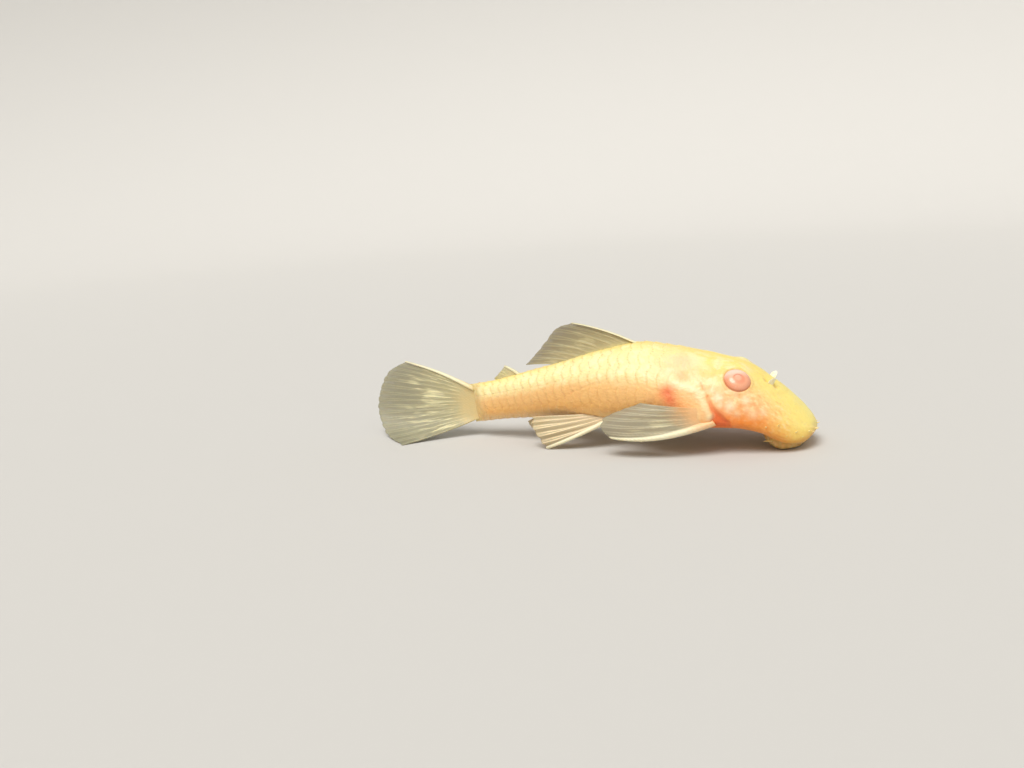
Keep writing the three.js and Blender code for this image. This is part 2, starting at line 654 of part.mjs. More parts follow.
add('head', largest(head), skin);
add('trunk', trunk, skin);
add('tail_stem', tailStem, skin);
add('sucker_mouth', mouthSolid(), lip);
addFin('dorsal_fin', dorsalFin());
addFin('adipose_fin', adiposeFin());
addFin('anal_fin', analFin());
addFin('caudal_fin', caudalFin());
for (const [name, side] of Object.entries(SIDES)) {
  add(`eye_${name}`, eyeSolid(side, 0), eye);
  add(`gill_cover_${name}`, largest(bareHead.intersect(coverPrism(side, 0))), cheek);
  addFin(`pectoral_fin_${name}`, pectoralFin(side));
  addFin(`pelvic_fin_${name}`, pelvicFin(side));
}

// The part stands in the middle of its own frame.
const middle = new THREE.Box3().setFromObject(fish).getCenter(new THREE.Vector3());
for (const mesh of fish.children) mesh.geometry.translate(-middle.x, -middle.y, 0);

export default fish;
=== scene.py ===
import math
from functools import reduce

import bpy
import numpy as np
from mathutils import Matrix, Vector, noise


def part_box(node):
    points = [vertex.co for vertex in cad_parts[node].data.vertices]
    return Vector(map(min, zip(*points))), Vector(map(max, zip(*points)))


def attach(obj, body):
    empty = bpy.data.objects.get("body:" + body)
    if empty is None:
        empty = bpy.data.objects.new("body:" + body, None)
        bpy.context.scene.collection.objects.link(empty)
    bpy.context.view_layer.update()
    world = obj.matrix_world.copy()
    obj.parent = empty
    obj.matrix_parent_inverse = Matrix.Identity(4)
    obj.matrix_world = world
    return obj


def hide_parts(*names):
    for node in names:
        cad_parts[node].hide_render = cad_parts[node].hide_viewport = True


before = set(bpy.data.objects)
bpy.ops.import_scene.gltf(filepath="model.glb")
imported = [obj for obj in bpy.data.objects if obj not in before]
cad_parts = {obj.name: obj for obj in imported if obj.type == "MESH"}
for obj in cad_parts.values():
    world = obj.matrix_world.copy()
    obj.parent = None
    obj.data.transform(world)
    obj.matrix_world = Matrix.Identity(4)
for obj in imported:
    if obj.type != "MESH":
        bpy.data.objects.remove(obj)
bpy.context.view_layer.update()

METRE = 0.001
SIDES = {"right": -1, "left": 1}
UP = np.array([0.0, 0.0, 1.0])

# Camera: where the photo was taken from
CAMERA_PLACE = (45.98, -155.45, 39.68)
CAMERA_AZIMUTH = 20.03
CAMERA_ELEVATION = 10.73
CAMERA_ROLL = -3.6
PHOTO_WIDTH = 1024
FOCAL_PIXELS = 1125
SENSOR = 36


def put_in_scene(name, data):
    thing = bpy.data.objects.new(name, data)
    bpy.context.scene.collection.objects.link(thing)
    return thing


def place_camera():
    data = bpy.data.cameras.new("camera")
    data.sensor_width = SENSOR
    data.lens = SENSOR * FOCAL_PIXELS / PHOTO_WIDTH
    data.clip_start = 0.01
    camera = put_in_scene("camera", data)
    bpy.context.scene.camera = camera
    azimuth, elevation = math.radians(CAMERA_AZIMUTH), math.radians(CAMERA_ELEVATION)
    back = Vector((math.sin(azimuth) * math.cos(elevation), -math.cos(azimuth) * math.cos(elevation),
                   math.sin(elevation)))
    turned = back.to_track_quat("Z", "Y").to_matrix() @ Matrix.Rotation(math.radians(CAMERA_ROLL), 3, "Z")
    camera.matrix_world = Matrix.Translation(Vector(CAMERA_PLACE) * METRE) @ turned.to_4x4()


place_camera()

# The body's shape, the same as in the solids
STANDARD_LENGTH = 52.0
SNOUT = np.array([32.4, -1.6, 2.4])
BODY_MIDDLE = -2.8  # across the ground, of the trunk
BEND_HEIGHT = 4.4  # of the line in the body that it bends about
HEAD_PITCH = 11.5
TAIL_PITCH = -6.6
HEAD_YAW = 4.0
TAIL_YAW = -7.0


def percent(share):
    return share * STANDARD_LENGTH / 100


def lerp(a, b, t):
    return a + (b - a) * t


def ease(low, high, x):
    t = np.clip((x - low) / (high - low), 0, 1)
    return t * t * (3 - 2 * t)


def bell(distance, width):
    return np.exp(-((distance / width) ** 2))


def unit(vectors):
    return vectors / np.maximum(np.linalg.norm(vectors, axis=-1, keepdims=True), 1e-12)


def curve_through(pairs):
    """A smooth curve through pairs of place and value that doesn't overshoot them."""
    x, y = np.array(pairs, float).T
    slopes = np.diff(y) / np.diff(x)
    before = np.concatenate([slopes[:1], slopes])
    after = np.concatenate([slopes, slopes[-1:]])
    same_way = before * after > 0
    tangents = np.where(same_way, 2 * before * after / np.where(same_way, before + after, 1), 0)

    def at(value):
        i = np.clip(np.searchsorted(x, value) - 1, 0, len(x) - 2)
        h = x[i + 1] - x[i]
        t = np.clip((value - x[i]) / h, 0, 1)
        rise = (1 - t) ** 2
        return (y[i] * (1 + 2 * t) * rise + tangents[i] * h * t * rise
                + y[i + 1] * t * t * (3 - 2 * t) + tangents[i + 1] * h * t * t * (t - 1))

    return at


def measure(pairs):
    """A body measure given in percent. The square root rounds the snout's tip."""
    curve = curve_through([(math.sqrt(station), value) for station, value in pairs])
    return lambda station: percent(curve(np.sqrt(station)))


half_width = measure([(0, 0), (3, 9.2), (10, 13.1), (23, 15.5), (31, 16), (38, 15.2), (47, 13), (58, 10.2),
                      (69, 7.4), (79, 5.2), (88, 3.8), (100, 2.6)])
top_height = measure([(0, 5), (3, 9.1), (7, 12), (10, 13.8), (16, 16.8), (23, 18.9), (31, 19.4), (40, 19.8),
                      (47, 20.4), (58, 18.6), (69, 16.2), (79, 14.7), (88, 13.3), (94, 12.6), (100, 12.4)])
belly_height = measure([(0, 5), (1, 2.4), (3, 0.9), (6, 0.5), (10, 1), (14, 2.2), (19, 2.5), (24, 1.7),
                        (32, 0.3), (46, -0.8), (56, -0.6), (69, 0.6), (79, 1.2), (90, 1.5), (100, 1.1)])
widest_share = curve_through([(0, 0.5), (6, 0.26), (30, 0.24), (50, 0.38), (75, 0.5), (100, 0.5)])
top_power = curve_through([(0, 2), (25, 2.1), (50, 2.05), (75, 2.2), (100, 2.3)])
belly_power = curve_through([(0, 2), (8, 3), (35, 3.2), (60, 2.6), (100, 2.3)])


def directions_at(station):
    """Directions at stations: towards the head, to the fish's left, and up out of its back."""
    station = np.asarray(station, float)
    pitch = np.radians(HEAD_PITCH * (1 - ease(30, 52, station)) + TAIL_PITCH * ease(46, 74, station))
    yaw = np.radians(lerp(HEAD_YAW, TAIL_YAW, ease(34, 96, station)))
    forward = np.stack([np.cos(pitch) * np.cos(yaw), np.cos(pitch) * np.sin(yaw), -np.sin(pitch)], -1)
    left = np.stack([-np.sin(yaw), np.cos(yaw), 0 * yaw], -1)
    return forward, left, np.cross(forward, left)


def make_bend_line(steps_per_percent=5):
    stations = np.arange(0, 100 * steps_per_percent) / steps_per_percent
    forward, _, up = directions_at(stations)
    start = SNOUT + up[0] * (BEND_HEIGHT - top_height(0))
    steps = -forward * percent(1 / steps_per_percent)
    return np.append(stations, 100), start + np.concatenate([np.zeros((1, 3)), np.cumsum(steps, axis=0)])


BEND_STATIONS, BEND_LINE = make_bend_line()


def place(station, left, height):
    """The point at a station, so far to the left of the body's middle and so high above its belly line."""
    station, left, height = np.broadcast_arrays(*map(np.asarray, (station, left, height)))
    on_line = np.stack([np.interp(station, BEND_STATIONS, BEND_LINE[:, k]) for k in range(3)], -1)
    _, leftward, up = directions_at(station)
    return on_line + leftward * left[..., None] + up * (height - BEND_HEIGHT)[..., None]


SHOULDER_HEIGHT = 0.3  # how proud the bony plate behind the gill slit stands


def surface(station, share, side):
    """The smooth body."""
    station, share, side = np.broadcast_arrays(*map(np.asarray, (station, share, side)))
    share = np.clip(share, 0, 1)
    top, belly = top_height(station), belly_height(station)
    widest = lerp(belly, top, widest_share(station))
    turn = share * math.pi
    upper = turn < math.pi / 2
    power = 2 / np.where(upper, top_power(station), belly_power(station))
    rise = np.where(upper, top - widest, belly - widest) * np.abs(np.cos(turn)) ** power
    out = half_width(station) * np.abs(np.sin(turn)) ** power
    shoulder = (ease(22, 27, station) * (1 - ease(30, 39, station))
                * ease(0.36, 0.5, share) * (1 - ease(0.56, 0.66, share)))
    return place(station, side * (out + SHOULDER_HEIGHT * shoulder), widest + rise)


def outward(station, share, side):
    """The outward direction of the smooth body, from its slopes along and round it."""
    reach = 0.004
    s = np.clip(station, 0.4, 99.6)
    v = np.clip(share, reach, 1 - reach)
    along = surface(s + 0.2, v, side) - surface(s - 0.2, v, side)
    around = surface(s, v + reach, side) - surface(s, v - reach, side)
    return unit(np.cross(along, around)) * -np.asarray(side)[..., None]


EYE_STATION = 22.2
EYE_SHARE = 0.238
EYE_RADIUS = 1.95
EYE_DEPTH = 1.5  # half of the eyeball's thickness from front to back
EYE_SINK = 0.55  # of its middle under the skin


def eye_frame(side):
    """The eye's place on the skin and the direction that it looks in."""
    return surface(EYE_STATION, EYE_SHARE, side), outward(EYE_STATION, EYE_SHARE, side)


# The solids stand in the middle of their own frame, so the eye's place in it gives the shift of all the rest.
def frame_shift():
    low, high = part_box("eye_right")
    point, out = eye_frame(SIDES["right"])
    shift = np.array((low + high) / 2) / METRE - (point - out * EYE_SINK)
    return np.array([shift[0], shift[1], 0])


SHIFT = frame_shift()


# Materials
def colour(code, alpha=1.0):
    """A colour as an artist writes it, such as "f2a868", made linear."""
    parts = [int(code[i:i + 2], 16) / 255 for i in (0, 2, 4)]
    return (*(p / 12.92 if p <= 0.04045 else ((p + 0.055) / 1.055) ** 2.4 for p in parts), alpha)


class Finish:
    """A material's nodes, made one call at a time. An input is a number, a colour, another node's output or a
    mesh attribute's name. tone is the colour so far."""

    def __init__(self, name):
        self.material = bpy.data.materials.new(name)
        self.material.use_nodes = True
        self.tree = self.material.node_tree
        self.shader = self.tree.nodes["Principled BSDF"]
        self.coordinates = self.tree.nodes.new("ShaderNodeTexCoord").outputs["Object"]
        self.tone = None

    def put(self, socket, value):
        if isinstance(value, str):
            value = self.add("ShaderNodeAttribute", {}, attribute_name=value).outputs["Fac"]
        if isinstance(value, bpy.types.NodeSocket):
            self.tree.links.new(value, socket)
        else:
            socket.default_value = value

    def add(self, kind, inputs, **settings):
        node = self.tree.nodes.new(kind)
        for name, value in settings.items():
            setattr(node, name, value)
        for socket, value in inputs.items():
            self.put(node.inputs[socket], value)
        return node

    def maths(self, operation, a, b=0.0, clamp=False):
        return self.add("ShaderNodeMath", {0: a, 1: b}, operation=operation, use_clamp=clamp).outputs[0]

    def times(self, *values):
        return reduce(lambda a, b: self.maths("MULTIPLY", a, b), values)

    def plus(self, *values):
        return reduce(lambda a, b: self.maths("ADD", a, b), values)

    def distance(self, across, up):
        return self.maths("SQRT", self.plus(self.times(across, across), self.times(up, up)))

    def mix(self, factor, a, b, blend="MIX"):
        node = self.add("ShaderNodeMix", {0: factor, 6: a, 7: b}, data_type="RGBA", blend_type=blend)
        return node.outputs[2]

    def paint(self, code, *weights):
        """Lays a colour over the tone so far, as strongly as the product of the weights."""
        self.tone = self.mix(self.times(*weights), self.tone, colour(code))

    def stretch(self, size, stretched=(1, 1, 1)):
        """Object coordinates in grains of a size in millimetres, longer along some axes."""
        scale = tuple(1 / (size * METRE * s) for s in stretched)
        return self.add("ShaderNodeMapping", {"Vector": self.coordinates, "Scale": scale}).outputs[0]

    def noise(self, size, detail=3, roughness=0.5):
        inputs = {"Vector": self.stretch(size), "Scale": 1, "Detail": detail, "Roughness": roughness}
        return self.add("ShaderNodeTexNoise", inputs).outputs["Fac"]

    def streaks(self, x, y, detail=3):
        """Noise over two values of the surface, each scaled so that a grain is about 1 long in it."""
        plane = self.add("ShaderNodeCombineXYZ", {"X": x, "Y": y}).outputs[0]
        return self.add("ShaderNodeTexNoise", {"Vector": plane, "Scale": 1, "Detail": detail}).outputs["Fac"]

    def cells(self, size, stretched=(1, 1, 1)):
        inputs = {"Vector": self.stretch(size, stretched), "Scale": 1}
        return self.add("ShaderNodeTexVoronoi", inputs, feature="SMOOTH_F1").outputs["Distance"]

    def between(self, value, low, high, out_low=0.0, out_high=1.0):
        """0 below low and 1 above high, or the two given ends, smoothly between them."""
        inputs = {"Value": value, "From Min": low, "From Max": high, "To Min": out_low, "To Max": out_high}
        return self.add("ShaderNodeMapRange", inputs, interpolation_type="SMOOTHSTEP").outputs[0]

    def ramp(self, factor, stops):
        node = self.add("ShaderNodeValToRGB", {0: factor})
        elements = node.color_ramp.elements
        while len(elements) < len(stops):
            elements.new(0.5)
        for element, (position, code) in zip(elements, stops):
            element.position = position
            element.color = colour(code)
        return node.outputs[0]

    def bump(self, *layers):
        """Bumps on bumps, each a height, and how deep it is in millimetres."""
        normal = None
        for height, depth in layers:
            inputs = {"Height": height, "Distance": depth * METRE, "Strength": 1}
            if normal is not None:
                inputs["Normal"] = normal
            normal = self.add("ShaderNodeBump", inputs).outputs[0]
        self.put(self.shader.inputs["Normal"], normal)

    def set(self, **values):
        for name, value in values.items():
            self.put(self.shader.inputs[name.replace("_", " ").title().replace("Ior", "IOR")], value)
        return self.material


# Meshes
def faces_of_grid(rows, columns, closed=False):
    """Quads between a grid's points. A closed grid's last column meets its first."""
    r, c = np.meshgrid(np.arange(rows - 1), np.arange(columns if closed else columns - 1), indexing="ij")
    beside = (c + 1) % columns
    quads = [r * columns + c, r * columns + beside, (r + 1) * columns + beside, (r + 1) * columns + c]
    return np.stack(quads, -1).reshape(-1, 4)


def array_volume(points, faces):
    """Six times the volume inside quads, below 0 where they face inwards."""
    a, b, c, d = (points[faces[:, k]] for k in range(4))
    return float(np.sum(a * np.cross(b, c)) + np.sum(a * np.cross(c, d)))


def make_object(name, points, faces, material, attributes=None):
    """A smooth mesh in the scene, from points in millimetres."""
    mesh = bpy.data.meshes.new(name)
    mesh.from_pydata((points * METRE).tolist(), [], [list(map(int, face)) for face in faces])
    mesh.polygons.foreach_set("use_smooth", [True] * len(mesh.polygons))
    mesh.materials.append(material)
    for label, values in (attributes or {}).items():
        layer = mesh.attributes.new(label, "FLOAT", "POINT")
        layer.data.foreach_set("value", np.asarray(values, np.float32).ravel())
    mesh.update()
    return put_in_scene(name, mesh)


def make_piece(name, points, faces, material, replaces=(), attributes=None):
    """A closed mesh that rides on the fish, from points not yet shifted to the solids' frame."""
    points = np.asarray(points, float).reshape(-1, 3) + SHIFT
    piece = make_object(name, points, faces, material, attributes)
    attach(piece, "root")
    if replaces:
        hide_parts(*replaces)


def tube(rings, first_point, last_point):
    """A closed tube of rings, rows by columns of points, with each end closed by a fan."""
    rows, columns = rings.shape[:2]
    points = np.concatenate([rings.reshape(-1, 3), [first_point, last_point]])
    quads = faces_of_grid(rows, columns, closed=True)
    first, last = rows * columns, rows * columns + 1
    beside = [(i + 1) % columns for i in range(columns)]
    fans = [(first, beside[i], i) for i in range(columns)]
    start = (rows - 1) * columns
    fans += [(last, start + i, start + beside[i]) for i in range(columns)]
    if array_volume(points, quads) < 0:
        quads = quads[:, ::-1]
        fans = [fan[::-1] for fan in fans]
    return points, [*quads.tolist(), *fans]


def bumpy(points, size, seed=0.0):
    """Soft noise at points, about from -1 to 1, with grains of a size."""
    flat = points.reshape(-1, 3) / size + seed
    return np.array([noise.noise(Vector(p)) for p in flat]).reshape(points.shape[:-1])


# Skin: one piece from the snout to the tail fin
FIRST_STATION = 0.02
SKIN_STEP = 0.1  # between neighbouring points
SKIN_POINTS_A_SIDE = 150


def even_places(path, dense, count):
    """Places along a path of points, spread evenly over its length."""
    walked = np.insert(np.cumsum(np.linalg.norm(np.diff(path, axis=0), axis=1)), 0, 0)
    count = count or round(walked[-1] / SKIN_STEP)
    return np.interp(np.linspace(0, walked[-1], count), walked, dense)


def skin_grid():
    dense_shares = np.linspace(0, 1, 2001)
    down = even_places(surface(35, dense_shares, 1), dense_shares, SKIN_POINTS_A_SIDE)
    dense_stations = np.linspace(math.sqrt(FIRST_STATION), 10, 4001) ** 2
    stations = even_places(surface(dense_stations, 0.25, 1), dense_stations, None)
    shares = np.concatenate([down, down[-2:0:-1]])
    sides = np.concatenate([np.full(len(down), -1), np.full(len(down) - 2, 1)])
    station, share = np.meshgrid(stations, shares, indexing="ij")
    return station, share, np.broadcast_to(sides, station.shape)


STATION, SHARE, SIDE = skin_grid()
BASE = surface(STATION, SHARE, SIDE)
OUT = outward(STATION, SHARE, SIDE)


def spots(*places):
    """How near each point of the skin is to spots, each a station, a share, a width and a strength."""
    field = np.zeros(STATION.shape)
    for station, share, width, strength in places:
        for side in SIDES.values():
            distance = np.linalg.norm(BASE - surface(station, share, side), axis=-1)
            field = np.maximum(field, strength * bell(distance, width))
    return field


def distance_to(path):
    """How far each point of the skin is from a line through pairs of station and share, on either side."""
    corners = np.array(path, float)
    at = np.linspace(0, len(corners) - 1, 10 * len(corners))
    stations, shares = (np.interp(at, range(len(corners)), corners[:, k]) for k in range(2))
    nearest = np.full(STATION.shape, np.inf)
    for side in SIDES.values():
        for point in surface(stations, shares, side):
            nearest = np.minimum(nearest, np.sum((BASE - point) ** 2, axis=-1))
    return np.sqrt(nearest)


# Plates
PLATE_ROWS = 5
PLATE_COLUMNS = 24
FIRST_PLATE = 37
PLATE_LENGTH = (100 - FIRST_PLATE) / PLATE_COLUMNS
PLATE_STEP = 0.07  # how far a plate's rear edge stands over the next plate
PLATE_DROP = 0.2  # share of a plate's length in which its rear edge falls
PLATE_BULGE = 0.9  # percent that the middle of a plate's rear edge reaches further back
SEAM_DEPTH = 0.035
KEEL_HEIGHT = 0.045


def plated_share(station):
    """How far round the body the plates reach, further down on the tail than ahead of it."""
    return lerp(0.68, 0.985, ease(56, 76, station))


def plates():
    """The plates' relief, and where their pale middles and darker edges are."""
    plated = plated_share(STATION)
    row = PLATE_ROWS * SHARE / plated
    there = ease(FIRST_PLATE - 1, FIRST_PLATE + 0.6, STATION) * (1 - ease(4.95, 5.1, row))
    across = np.abs(2 * (row % 1) - 1)  # 0 in the middle of a row and 1 on a seam
    column = (STATION + PLATE_BULGE * across ** 2 - FIRST_PLATE) / PLATE_LENGTH
    along = column % 1
    rise = np.minimum(along / (1 - PLATE_DROP), (1 - along) / PLATE_DROP)
    relief = (PLATE_STEP * rise ** 1.3 - SEAM_DEPTH * bell(1 - across, 0.14)
              + KEEL_HEIGHT * bell(across, 0.4) * rise)
    pale = bell(along - 0.5, 0.3) * bell(across, 0.55) * there
    edge = np.maximum(bell(along - 0.97, 0.1), 0.6 * bell(1 - across, 0.12)) * there * ease(38, 52, STATION)
    return relief * there * (1 - ease(95, 99, STATION)), pale, edge


# Lines and marks on the head, each place a station and a share round the body
# The gill opening lies between the gill cover's rear edge and the shoulder, and widens downwards.
COVER_EDGE = [(28.7, 0.38), (26.7, 0.439), (24.6, 0.478), (22.2, 0.522), (21.7, 0.6), (21.8, 0.76),
              (22, 0.85)]
SHOULDER_FRONT = [(28.7, 0.38), (27.6, 0.43), (26.4, 0.478), (26.2, 0.52), (26, 0.6), (25.4, 0.76),
                  (25, 0.85)]
CREASE = [(31.2, 0.3), (30, 0.335), (28.7, 0.38)]
SHOULDER_BAND = [(37.5, 0.335), (36, 0.345), (33.7, 0.352), (31.9, 0.362), (29.9, 0.408), (28.4, 0.452),
                 (27.4, 0.49)]
SUTURES = [
    [(36.8, 0), (35, 0.07), (31, 0.1), (28, 0.075), (24, 0.06), (19, 0.07), (15.5, 0.08)],
    [(28, 0.075), (27.6, 0.14), (28.2, 0.22), (30.3, 0.29)],
    [(36.8, 0), (36.4, 0.1), (35.2, 0.18), (33.4, 0.26), (31.6, 0.29)],
    [(9, 0), (9.5, 0.08), (11, 0.16), (14, 0.24), (17, 0.33)],
    [(17, 0.33), (20, 0.36), (24, 0.36), (27.8, 0.38)],
]
# Spots, each a station, a share, a width in millimetres and a strength
CHEEK_SPOTS = [
    (26, 0.382, 0.7, 1), (25.1, 0.422, 0.5, 0.7), (22.7, 0.425, 0.8, 1), (19, 0.365, 0.6, 0.8),
    (16.6, 0.439, 0.7, 0.6), (21.8, 0.345, 0.4, 0.5), (20.6, 0.46, 0.5, 0.5), (18.4, 0.42, 0.5, 0.5),
    (14.2, 0.4, 0.5, 0.5), (27.6, 0.345, 0.5, 0.5)]
TONE_SPOTS = {
    "nape_spots": [
        (32.9, 0.173, 1.1, 1), (31.2, 0.19, 0.9, 0.8), (34.5, 0.124, 1.0, 0.9), (28.1, 0.129, 0.9, 1),
        (28.6, 0.054, 0.6, 0.6), (31.5, 0.06, 0.7, 0.6), (25.5, 0.12, 0.6, 0.5), (20, 0.1, 0.6, 0.4),
        (29.6, 0.27, 0.6, 0.6), (27, 0.29, 0.5, 0.6), (32.4, 0.26, 0.6, 0.4)],
    "blush": [(38.9, 0.405, 1.05, 1), (38.2, 0.43, 0.95, 0.95), (37.4, 0.455, 0.8, 0.6),
              (40, 0.39, 0.7, 0.6)],
    "flush": [(38.4, 0.43, 2.2, 0.8), (36.1, 0.286, 1.1, 1), (35, 0.29, 0.8, 0.8), (35.5, 0.46, 1.5, 0.7),
              (41, 0.46, 1.6, 0.5), (33.6, 0.25, 1.6, 0.35), (40.5, 0.27, 2.4, 0.3), (36.2, 0.23, 1.4, 0.3)],
    "mauve": [(36.9, 0.177, 1.7, 1), (38.5, 0.24, 1.5, 0.6), (35.6, 0.2, 1.1, 0.6)],
    "throat": [(24.6, 0.48, 0.9, 0.7), (24.2, 0.56, 1.5, 1), (23.8, 0.68, 1.6, 1), (23.4, 0.8, 1.4, 0.7)],
    "jaw_glow": [(22, 0.56, 1.6, 1), (19.5, 0.54, 1.5, 1), (17, 0.51, 1.3, 1), (14.8, 0.49, 1, 0.8)],
    "jaw_shade": [(16.4, 0.6, 1.2, 0.9), (14.2, 0.555, 1.3, 1), (11.8, 0.53, 1.4, 1), (9.4, 0.57, 1.4, 1)],
    "root": [(30.4, 0.49, 1.4, 1), (28.6, 0.5, 1, 0.8), (32.4, 0.5, 1.2, 0.6)],
    # Painted shade: a brownish line in the fold where the flank meets the pectoral fin's top edge
    "fold_shade": [(40.5, 0.49, 0.6, 0.7), (38.8, 0.488, 0.6, 0.9), (37.1, 0.489, 0.6, 1), (35.3, 0.492, 0.6, 0.7),
             (43, 0.49, 0.7, 0.5)],
}
NOSTRIL_STATION = 13.6
NOSTRIL_SHARE = 0.105
NOSTRIL_SPREAD = 1.35  # percent from the flap to each opening
NOSTRILS = [(NOSTRIL_STATION + way * NOSTRIL_SPREAD, NOSTRIL_SHARE, 0.36, 1) for way in (-1, 1)]


def eye_relief():
    """A soft rim round each eye, a brow above it, and the skin sunk away under the eyeball."""
    relief = np.zeros(STATION.shape)
    near = np.zeros(STATION.shape)
    for side in SIDES.values():
        point, out = eye_frame(side)
        away = BASE - point
        depth = away @ out
        across = np.linalg.norm(away - depth[..., None] * out, axis=-1)
        close = (np.linalg.norm(away, axis=-1) < 2.5 * EYE_RADIUS) & (SIDE == side)
        relief += close * (0.15 * bell(across - 2.05, 0.2) - 0.8 * (1 - ease(1.35, 1.8, across)))
        # near marks the groove at the eyeball's edge, which is painted darker as shade
        near = np.maximum(near, close * bell(across - 1.9, 0.14))
    brow = spots((22.3, 0.125, 1.1, 0.34), (24.2, 0.15, 1, 0.14))
    return relief + brow, near


def gill_opening():
    """1 inside the gill openings and 0 outside, from the lines ahead of them and behind them."""
    front, rear = (np.interp(SHARE, *np.array(line).T[::-1]) for line in (COVER_EDGE, SHOULDER_FRONT))
    inside = ease(-0.8, 1.2, STATION - front) * ease(-0.8, 0.8, rear - STATION)
    return inside * ease(0.37, 0.42, SHARE) * (1 - ease(0.64, 0.8, SHARE))


TAIL_END_THINNING = 0.9  # share of its width that the skin's end loses, to meet the thin tail fin


def build_skin(material):
    plate_relief, pale, edge = plates()
    rim, eye_ring = eye_relief()
    waver = 0.3 * bumpy(BASE, 1.1, 3.1)
    opening = gill_opening()
    # The crease is sunk a little and also painted darker orange, a painted shade in it
    crease = bell(distance_to(CREASE) + 0.3 * waver, 0.16)
    cover_line, shoulder_line = distance_to(COVER_EDGE), distance_to(SHOULDER_FRONT)
    shoulder = bell(distance_to(SHOULDER_BAND) + waver, 0.5)
    sutures = np.max([bell(distance_to(path), 0.17) for path in SUTURES], axis=0)
    cheek_spots = spots(*CHEEK_SPOTS)
    pits = spots(*NOSTRILS)
    margin = ease(0.32, 0.37, SHARE) * (1 - ease(0.5, 0.56, SHARE)) * (1 - ease(10, 14, STATION))
    head = 1 - ease(33, 38, STATION)
    cheek = (ease(0.27, 0.36, SHARE) * (1 - ease(0.62, 0.75, SHARE)) * ease(9, 16, STATION)
             * (1 - ease(25.5, 31, STATION + 14 * (SHARE - 0.4))))
    covered = 1 - ease(0.56, 0.72, SHARE)
    # How far each form stands out of the smooth body, or in below 0
    forms = [
        (-0.24, opening),
        (0.14, bell(cover_line - 0.35, 0.5) * (1 - opening) * covered),
        (-0.1, bell(shoulder_line, 0.18) * covered),
        (-0.05, crease),
        (0.08, spots((30.6, 0.47, 1.8, 1), (33, 0.475, 1.8, 0.7))),
        (0.12, spots((25.6, 0.42, 1.3, 1), (22.8, 0.45, 1.4, 0.8))),
        (0.05, shoulder),
        (-0.03, sutures * head),
        (0.05, cheek_spots),
        (-0.24, pits),
        (-0.12, spots((NOSTRIL_STATION, NOSTRIL_SHARE, 1.2, 1))),
        (0.08, margin),
        (0.05, bumpy(BASE, 2.2) * (0.4 + head)),
        (0.018, bumpy(BASE, 0.45, 7.7)),
    ]
    relief = plate_relief + rim + sum(height * form for height, form in forms)
    left = directions_at(STATION)[1]
    sideways = np.sum((BASE - place(STATION, 0, 0)) * left, axis=-1)
    thinned = TAIL_END_THINNING * ease(94, 100, STATION) ** 1.5
    points = BASE + OUT * relief[..., None] - left * (sideways * thinned)[..., None]
    snout = place(0, 0, top_height(0))
    tail = place(100, 0, lerp(belly_height(100), top_height(100), 0.5))
    mesh_points, faces = tube(points, snout, tail)
    masks = {
        "station": STATION, "share": SHARE, "pale": pale, "edge": edge, "opening": opening,
        # slit: the gills' red along the gill slit's edges, darkened as painted shade in the slit
        "slit": np.maximum(bell(shoulder_line, 0.16), 0.6 * bell(cover_line, 0.14)) * ease(0.37, 0.44, SHARE),
        "crease": crease, "shoulder": shoulder, "suture": sutures * head, "cheek": cheek,
        "streaked": (ease(0.17, 0.28, SHARE) * (1 - ease(0.52, 0.6, SHARE)) * ease(4, 9, STATION)
                     * (1 - ease(22, 26, STATION))),
        "cheek_spots": cheek_spots, "pits": pits, "eye_ring": eye_ring,
        **{label: spots(*places) for label, places in TONE_SPOTS.items()},
    }
    ends = {"station": (0, 100), "share": (0.5, 0.5)}
    attributes = {name: np.append(field.ravel(), ends.get(name, (0, 0))) for name, field in masks.items()}
    replaced = ("head", "trunk", "tail_stem", "gill_cover_right", "gill_cover_left")
    make_piece("skin", mesh_points, faces, material, replaced, attributes)


# Colours laid over the skin's ground one after another: an attribute, how strongly, and the colour
SKIN_MARKS = [
    ("nape_spots", 0.75, "fff0bc"), ("flush", 0.8, "f4a860"), ("mauve", 0.65, "f8cfa8"),
    ("suture", 0.1, "e2a04e"), ("jaw_glow", 0.8, "ff8a1c"), ("jaw_shade", 0.6, "e8912a"),
    # The brown in the fold by the pectoral fin is painted shade
    # The darker orange in the crease above the gill slit is painted shade
    ("root", 0.75, "fdd9a0"), ("fold_shade", 0.6, "b98460"), ("crease", 0.4, "dc8f50"), ("throat", 0.8, "fc803c"),
    # Along the gill slit: the gills' red, darkened as painted shade
    ("opening", 0.85, "fb7434"), ("slit", 0.5, "e05e24"), ("cheek_spots", 0.8, "fde6bf"),
    # Painted shade: a darker ring in the groove round each eye
    ("shoulder", 0.7, "fdeaba"), ("blush", 0.8, "ee6a46"), ("eye_ring", 0.35, "d08a58"),
    # Painted shade: ochre in the sunk nostril pits
    ("pits", 0.5, "cc9448"),
]
TRUNK_TONES = [(0, "f2da7c"), (0.07, "f9e494"), (0.15, "fcebaa"), (0.31, "fce7a8"), (0.37, "fad99a"),
               (0.43, "f8c682"), (0.6, "f5bb6c"), (0.72, "f6c98a"), (1, "f8dcb8")]
HEAD_TONES = [(0, "fae074"), (0.12, "fbe382"), (0.22, "fada88"), (0.3, "facd8a"), (0.38, "fbbf80"),
              (0.46, "ffb468"), (0.54, "ff9e40"), (0.62, "f59038"), (0.78, "f4b884"), (1, "f6cfa6")]
# The snout's own yellow, with a darker band low down near the mouth, which is painted shade
SNOUT_TONES_AND_SHADE = [(0.1, "fdea84"), (0.36, "fde584"), (0.48, "fbd872"), (0.6, "eab44a"), (0.8, "ecbc70")]


